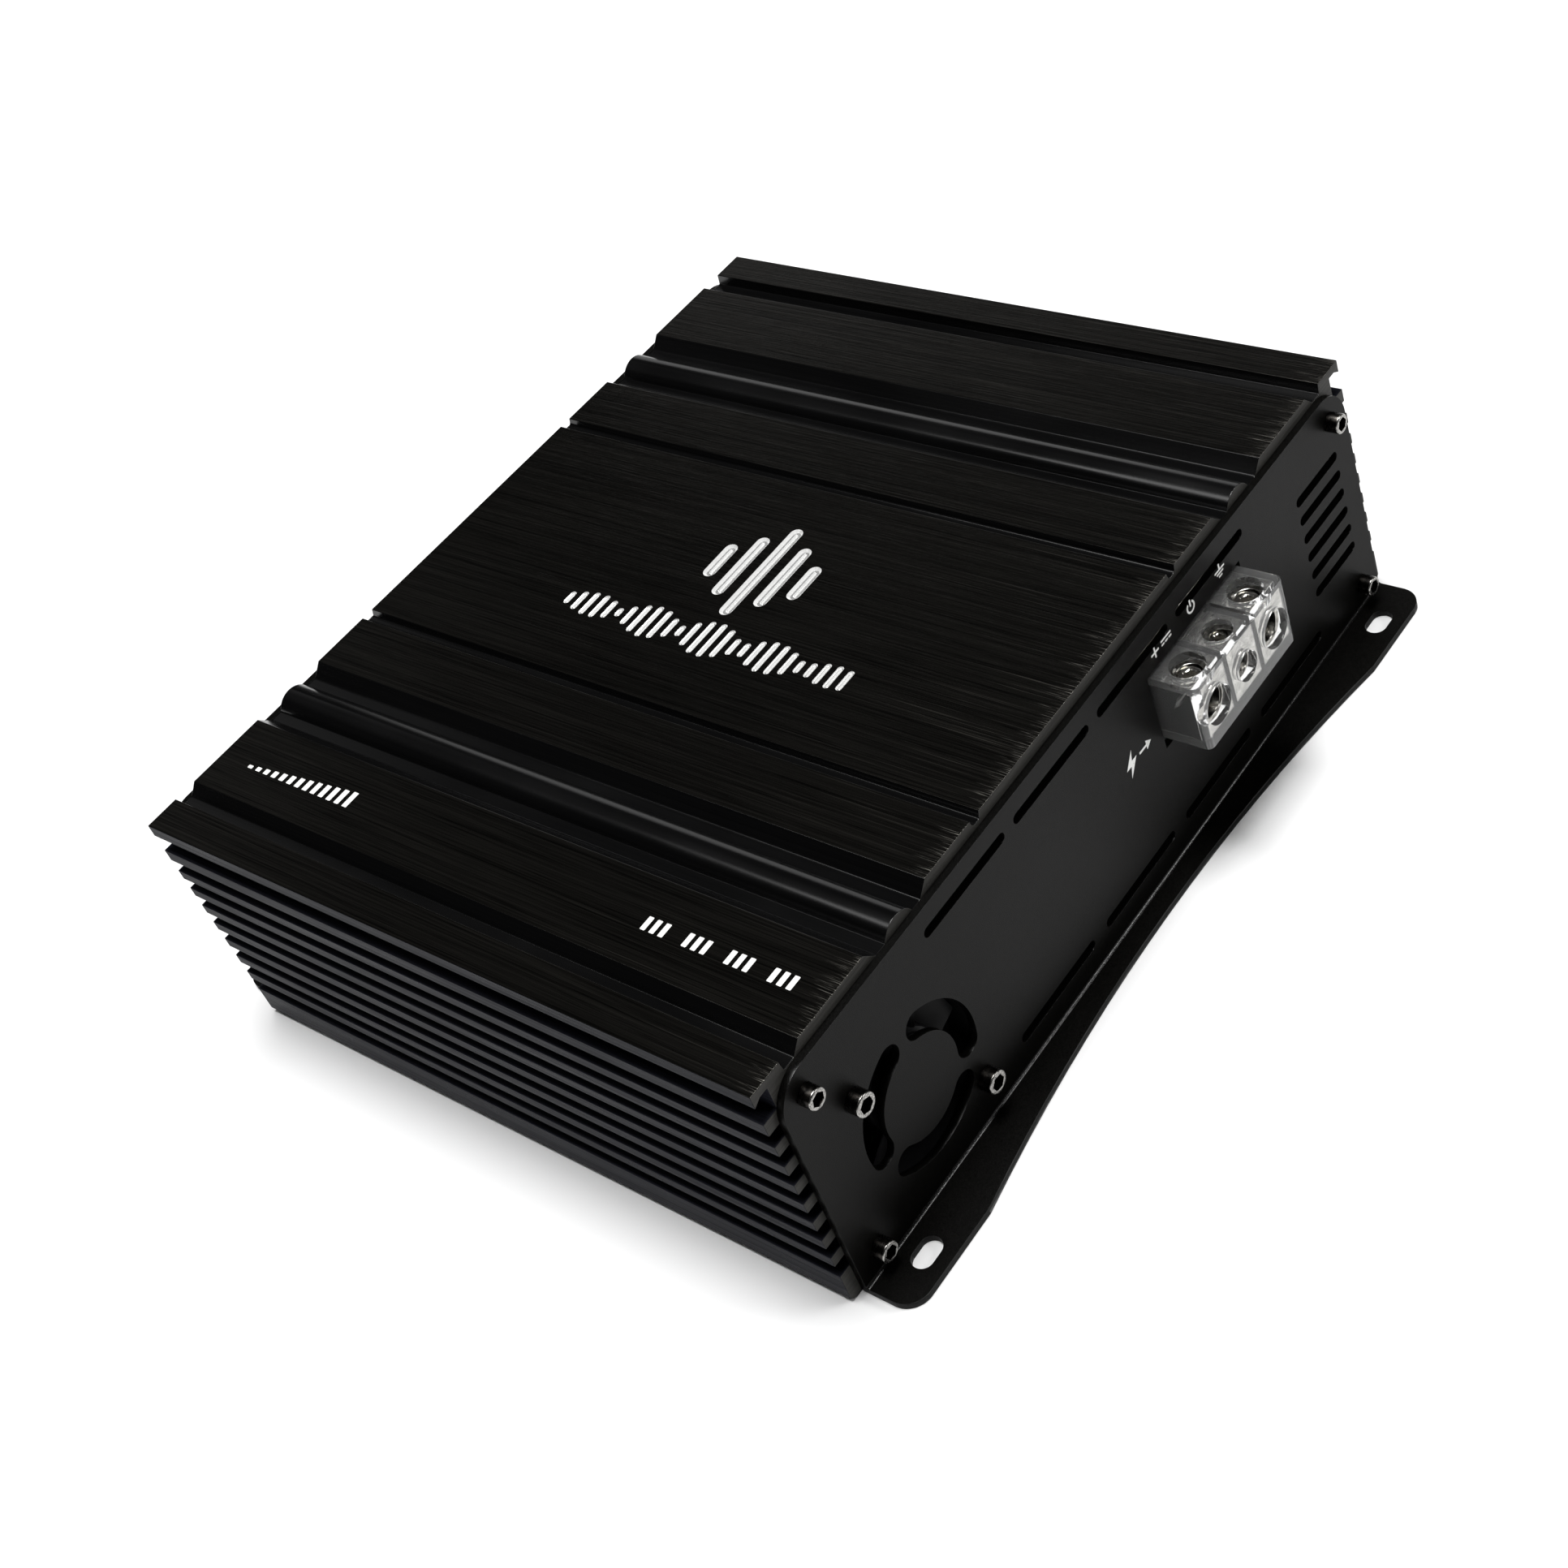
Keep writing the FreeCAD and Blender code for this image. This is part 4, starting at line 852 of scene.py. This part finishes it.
def make_fan_rotor():
    """A stepped hub with seven twisted, curved blades."""
    x_low, x_high, y_low, y_high, z_low, z_high = limits("fan_rotor")
    centre_x = (x_low + x_high) / 2
    centre_z = (z_low + z_high) / 2
    front = y_low
    data = bmesh.new()
    hub = [
        (0, 0.0), (8.2, 0.0), (8.6, 0.15), (8.6, 0.7),
        (9.7, 0.7), (10.0, 0.9), (10.0, 1.6),
        (10.9, 1.8), (11.2, 2.2), (11.2, 6.6),
        (10.2, 6.6), (10.2, 2.2), (1.0, 2.2),
        (1.0, y_high - y_low), (0, y_high - y_low),
    ]
    lathe(data, hub, at(centre_x, front, centre_z, "+Y"), 64)
    blade_count = 7
    chord_steps = 8
    radial_steps = 8
    for number in range(blade_count):
        base_angle = 2 * math.pi * number / blade_count + 0.35
        sheets = []
        for face_side in (1, -1):
            rows = []
            for radial in range(radial_steps + 1):
                share = radial / radial_steps
                radius = 10.9 + 7.25 * share
                half_turn = math.radians(21 + 3 * share)
                row = []
                for chord in range(chord_steps + 1):
                    along = 2 * chord / chord_steps - 1
                    thickness = 0.42 * math.sqrt(max(0.0, 1 - along ** 2)) + 0.05
                    camber = 0.55 * (1 - along ** 2)
                    depth = 3.9 + 2.45 * along * (1 - 0.12 * share) + camber + face_side * thickness
                    angle = base_angle + half_turn * along + math.radians(9) * share
                    row.append(data.verts.new(Vector((
                        centre_x + radius * math.cos(angle),
                        front + depth,
                        centre_z + radius * math.sin(angle),
                    )) * MM))
                rows.append(row)
            sheets.append(rows)
        upper, lower = sheets
        for radial in range(radial_steps):
            for chord in range(chord_steps):
                for rows in sheets:
                    data.faces.new((rows[radial][chord], rows[radial][chord + 1],
                                    rows[radial + 1][chord + 1], rows[radial + 1][chord]))
            for chord in (0, chord_steps):
                data.faces.new((upper[radial][chord], upper[radial + 1][chord],
                                lower[radial + 1][chord], lower[radial][chord]))
        for radial in (0, radial_steps):
            for chord in range(chord_steps):
                data.faces.new((upper[radial][chord], upper[radial][chord + 1],
                                lower[radial][chord + 1], lower[radial][chord]))
    as_object("fan_wheel", data, [FAN_PLASTIC], "fan", ["fan_rotor"])


# Audio end

def make_knobs():
    """Fluted level knobs with a white pointer."""
    for name in ("front_level", "rear_level", "low_pass", "high_pass"):
        node = f"{name}_knob"
        x_low, x_high, y_low, y_high, z_low, z_high = limits(node)
        x = (x_low + x_high) / 2
        z = (z_low + z_high) / 2
        cap = 5.0
        back = y_high - cap
        data = bmesh.new()
        profile = [
            (0, y_low - back), (2.0, y_low - back), (2.0, 0.0),
            (4.5, 0.0), (4.68, 0.25, 0, "fluted"), (4.5, cap - 1.0, 0, "fluted"),
            (4.3, cap - 0.45, 0, "fluted"), (3.95, cap - 0.1), (3.6, cap),
            (2.6, cap - 0.25), (0, cap - 0.3),
        ]
        lathe(data, profile, at(x, back, z, "+Y"), 96)
        pointer = [(x - 0.35, z + 1.2), (x + 0.35, z + 1.2), (x + 0.3, z + 4.1), (x - 0.3, z + 4.1)]
        flat = Matrix(((1, 0, 0, 0), (0, 0, 1, 0), (0, 1, 0, 0), (0, 0, 0, 1)))
        prism(data, pointer, y_high - 0.7, y_high - 0.02, flat, 1)
        as_object(f"{node}_turned", data, [BLACK_PLASTIC, INK], name, [node])


def make_inputs():
    """Plated barrels with coloured insulators."""
    x_low, x_high, y_low, y_high, z_low, z_high = limits("rca_barrels")
    radius = 4.15
    barrels = bmesh.new()
    insulators = bmesh.new()
    for x in (x_low + radius, x_high - radius):
        for colour, z in enumerate((z_high - radius, z_low + radius)):
            profile = [
                (radius, y_low), (radius, y_high - 6.0),
                (radius - 0.25, y_high - 5.8), (radius - 0.25, y_high - 5.2),
                (radius, y_high - 5.0), (radius, y_high - 0.35),
                (radius - 0.12, y_high - 0.08), (radius - 0.3, y_high),
                (3.42, y_high - 0.05), (3.3, y_high - 0.3),
                (3.3, y_low + 1.4), (radius - 0.5, y_low),
            ]
            lathe(barrels, profile, at(x, 0, z, "+Y"), 48, closed=True)
            inner_low, inner_high = limits("rca_insulators")[2:4]
            profile = [
                (0, inner_low, colour), (3.25, inner_low, colour),
                (3.25, inner_high - 0.15, colour), (3.1, inner_high, colour),
                (1.9, inner_high, colour), (1.7, inner_high - 0.2, colour),
                (1.6, inner_high - 8.0, colour), (0, inner_high - 8.1, colour),
            ]
            lathe(insulators, profile, at(x, 0, z, "+Y"))
    as_object("rca_barrels_turned", barrels, [NICKEL], CHASSIS, ["rca_barrels"])
    as_object("rca_insulators_turned", insulators, [WHITE_PLASTIC, RED_PLASTIC], CHASSIS,
              ["rca_insulators"])


SPEAKER_POLES = 8


def make_speaker_screws():
    """Pan head screws with a cross recess on the speaker terminals."""
    x_low, x_high, y_low, y_high, z_low, z_high = limits("speaker_terminal_screws")
    radius = (z_high - z_low) / 2
    z = (z_low + z_high) / 2
    pitch = (x_high - x_low - 2 * radius) / (SPEAKER_POLES - 1)
    seat = 95.6
    data = bmesh.new()
    for number in range(SPEAKER_POLES):
        x = x_low + radius + pitch * number
        spin = 37 * number
        shank = seat - y_low
        head = y_high - seat
        profile = [
            (0, -shank), (1.6, -shank), (1.6, 0),
            (radius, 0.0), (radius, head * 0.45),
            (radius - 0.25, head * 0.75), (radius - 0.8, head * 0.94),
            (1.7, head), (0, head),
        ]
        lathe(data, profile, at(x, seat, z, "+Y", spin))
    mesh = bpy.data.meshes.new("cross_cutter")
    cutter_data = bmesh.new()
    for number in range(SPEAKER_POLES):
        x = x_low + radius + pitch * number
        for turn in (0, 90):
            matrix = at(x, y_high, z, "+Y", 37 * number + turn)
            prism(cutter_data, [(-2.0, -0.33), (2.0, -0.33), (2.0, 0.33), (-2.0, 0.33)], -1.1, 0.4, matrix)
    bmesh.ops.recalc_face_normals(cutter_data, faces=cutter_data.faces)
    cutter_data.to_mesh(mesh)
    cutter_data.free()
    mesh.materials.append(ZINC)
    cutter = bpy.data.objects.new("cross_cutter", mesh)
    bpy.context.scene.collection.objects.link(cutter)
    screws = as_object("speaker_screws_turned", data, [ZINC], CHASSIS,
                       ["speaker_terminal_screws"])
    cut = screws.modifiers.new("cross", "BOOLEAN")
    cut.operation = "DIFFERENCE"
    cut.solver = "EXACT"
    cut.use_self = True
    cut.object = cutter
    apply_modifiers(screws)
    bpy.data.objects.remove(cutter)


def make_status_light():
    """A small domed lens."""
    x_low, x_high, y_low, y_high, z_low, z_high = limits("status_light")
    radius = (x_high - x_low) / 2
    data = bmesh.new()
    dome = []
    for degrees in range(0, 90, 12):
        angle = math.radians(degrees)
        dome.append((radius * math.cos(angle), y_high - radius + radius * math.sin(angle)))
    profile = [(0, y_low), (radius, y_low), *dome, (0, y_high)]
    lathe(data, profile, at((x_low + x_high) / 2, 0, (z_low + z_high) / 2, "+Y"), 32)
    as_object("status_lens", data, [LAMP_PLASTIC], CHASSIS, ["status_light"])


def make_switch_sliders():
    """Switch caps with finger ridges."""
    for name in ("front_switch", "rear_switch"):
        node = f"{name}_slider"
        x_low, x_high, y_low, y_high, z_low, z_high = limits(node)
        data = bmesh.new()
        ridges = 4
        pitch = (x_high - x_low) / ridges
        top = []
        for number in range(ridges):
            start = x_high - pitch * number
            top += [(start, y_high), (start - pitch * 0.62, y_high), (start - pitch * 0.62, y_high - 0.35),
                    (start - pitch, y_high - 0.35)]
        corners = [(x_low, y_low), (x_high, y_low), *top]
        prism(data, corners, z_low, z_high, Matrix.Identity(4))
        slider = as_object(f"{node}_cap", data, [WHITE_PLASTIC], name, [node])
        bevel = slider.modifiers.new("soft_edges", "BEVEL")
        bevel.width = 0.1 * MM
        bevel.segments = 2
        bevel.limit_method = "ANGLE"


# Printed signs on the end plates

def make_plate_signs():
    """Signs by the power terminals: supply, switched supply, ground, and a bolt with an arrow."""
    plate_face = limits("fan_screws")[2] + HEAD_HEIGHT
    facing = Matrix(((1, 0, 0, 0), (0, 0, -1, plate_face * MM), (0, 1, 0, 0), (0, 0, 0, 1)))
    data = bmesh.new()

    def shape(corners):
        prism(data, corners, -0.02, 0.03, facing)

    def bar(x_low, x_high, low, high):
        shape([(x_low, low), (x_high, low), (x_high, high), (x_low, high)])

    def centre_of(pole):
        x_low, x_high = limits(f"power_screw_{pole}")[:2]
        return (x_low + x_high) / 2

    z = limits("power_terminal_housing")[5] + 2.2
    x = centre_of("positive") - 2.6
    bar(x - 1.5, x - 0.25, z - 0.25, z + 0.25)
    bar(x + 0.25, x + 1.5, z - 0.25, z + 0.25)
    bar(x - 0.25, x + 0.25, z - 1.4, z + 1.4)
    bar(x + 2.6, x + 6.6, z + 0.35, z + 0.8)
    for dash in range(3):
        start = x + 2.6 + 1.45 * dash
        bar(start, start + 1.1, z - 0.65, z - 0.2)
    x = centre_of("remote")
    turns = range(125, 416, 10)
    outer, inner = (
        [(x + radius * math.cos(math.radians(turn)), z + radius * math.sin(math.radians(turn)))
         for turn in turns]
        for radius in (1.6, 1.1)
    )
    shape(outer + inner[::-1])
    bar(x - 0.25, x + 0.25, z + 0.1, z + 1.9)
    x = centre_of("ground")
    bar(x - 0.25, x + 0.25, z + 0.35, z + 1.7)
    for number, half in enumerate((2.0, 1.35, 0.7)):
        bar(x - half, x + half, z - 0.1 - 0.85 * number, z + 0.35 - 0.85 * number)
    x = (limits("front_end_plate")[0] + limits("front_end_plate")[1]) / 2 + 7.5
    z = limits("power_terminal_housing")[4] + 8.7
    bolt = [(0.9, 3.4), (-2.1, -0.5), (-0.3, -0.5), (-1.1, -3.4), (2.1, 0.7), (0.3, 0.7)]
    shape([(x + across, z + up) for across, up in bolt])
    bar(x + 3.2, x + 6.0, z - 0.3, z + 0.3)
    shape([(x + 6.0, z - 1.3), (x + 7.9, z), (x + 6.0, z + 1.3)])
    as_object("front_plate_signs", data, [INK], CHASSIS)


def make_rear_signs():
    """Scale ticks round the level controls and end marks at the switches."""
    plate_face = -(limits("fan_screws")[2] + HEAD_HEIGHT)
    facing = Matrix(((1, 0, 0, 0), (0, 0, 1, plate_face * MM), (0, 1, 0, 0), (0, 0, 0, 1)))
    data = bmesh.new()
    for name in ("front_level", "rear_level", "low_pass", "high_pass"):
        x_low, x_high, _, _, z_low, z_high = limits(f"{name}_knob")
        x = (x_low + x_high) / 2
        z = (z_low + z_high) / 2
        for tick in range(11):
            angle = math.radians(90 - 150 + 30 * tick)
            length = 1.3 if tick % 5 == 0 else 0.8
            along = Vector((math.cos(angle), math.sin(angle)))
            across = Vector((-along.y, along.x)) * 0.13
            centre = Vector((x, z))
            corners = [centre + along * 5.5 - across, centre + along * (5.5 + length) - across,
                       centre + along * (5.5 + length) + across, centre + along * 5.5 + across]
            prism(data, [tuple(corner) for corner in corners], -0.02, 0.03, facing)
    for name in ("front_switch", "rear_switch"):
        x_low, x_high, _, _, z_low, _ = limits(f"{name}_slider")
        x = (x_low + x_high) / 2
        for side in (-1, 0, 1):
            centre = (x + 3.4 * side, z_low - 2.2)
            prism(data, rounded_corners(centre, (0.5, 1.3), 0.2, 3), -0.02, 0.03, facing)
    as_object("rear_plate_signs", data, [INK], CHASSIS)


# Camera, light and floor

def link(obj):
    """Put an object in the scene."""
    bpy.context.scene.collection.objects.link(obj)
    return obj


def make_floor():
    """A plain pale floor."""
    data = bmesh.new()
    bmesh.ops.create_grid(data, x_segments=1, y_segments=1, size=6.0)
    mesh = bpy.data.meshes.new("floor")
    data.to_mesh(mesh)
    data.free()
    paper = Look("floor_paper", (0.94, 0.94, 0.94), 0.95, 0.0, {"Specular IOR Level": 0.0})
    paper.feed("Base Color", paper.mix(paper.noise(3.0), (0.935, 0.935, 0.935), (0.945, 0.945, 0.945)))
    mesh.materials.append(paper.material)
    floor = link(bpy.data.objects.new("floor", mesh))


def aim(obj, toward):
    """Turn a light so that it shines from the given direction."""
    obj.rotation_euler = (-Vector(toward)).to_track_quat("-Z", "Y").to_euler()


def make_lights():
    """A dim world, a soft overhead sun for floor and fins, and four boxes that the black metal mirrors."""
    world = bpy.data.worlds.new("studio")
    world.use_nodes = True
    backdrop = world.node_tree.nodes["Background"]
    backdrop.inputs["Color"].default_value = (1.0, 1.0, 1.0, 1.0)
    backdrop.inputs["Strength"].default_value = 0.015
    bpy.context.scene.world = world

    sun = bpy.data.lights.new("overhead", "SUN")
    sun.energy = 3.45
    sun.angle = math.radians(24)
    aim(link(bpy.data.objects.new("overhead", sun)), (0.05, 0.03, 1.0))

    target = Vector((0, 0, 0.06))
    for name, toward, distance, size, glow in (
        ("right_box", (0.85, 0.46, 0.26), 1.4, (1.1, 0.56), 0.62),
        ("back_box", (0.10, 0.86, 0.48), 1.5, (0.9, 0.4), 0.15),
        ("left_box", (-0.31, 0.35, 0.87), 1.3, (0.34, 0.56), 2.9),
        ("front_box", (0.50, -0.70, 0.47), 1.3, (0.5, 0.3), 11.0),
    ):
        lamp = bpy.data.lights.new(name, "AREA")
        lamp.shape = "RECTANGLE"
        lamp.size, lamp.size_y = size
        lamp.energy = glow * math.pi * size[0] * size[1]
        holder = link(bpy.data.objects.new(name, lamp))
        holder.location = target + Vector(toward).normalized() * distance
        aim(holder, toward)


def make_camera():
    """The camera at the photograph's viewing angle."""
    lens = bpy.data.cameras.new("camera")
    lens.lens = 55.93
    lens.sensor_width = 36.0
    lens.shift_x = -0.0294
    lens.shift_y = -0.1027
    lens.clip_start = 0.01
    camera = link(bpy.data.objects.new("camera", lens))
    camera.location = (-0.26658, -0.35256, 0.40267)
    camera.rotation_euler = (math.radians(49.35), math.radians(16.594), math.radians(-52.970))
    bpy.context.scene.camera = camera
    bpy.context.scene.view_settings.view_transform = "Standard"


finish_cad_nodes()
for edge_width, cad_nodes in SOFT_EDGES.items():
    for cad_node in cad_nodes:
        refine(cad_node, edge_width)
make_heatsink()
make_plate_screws()
make_cover_screws()
make_clamping_screws()
make_fan_rotor()
make_knobs()
make_inputs()
make_speaker_screws()
make_status_light()
make_switch_sliders()
make_plate_signs()
make_rear_signs()
make_floor()
make_lights()
make_camera()
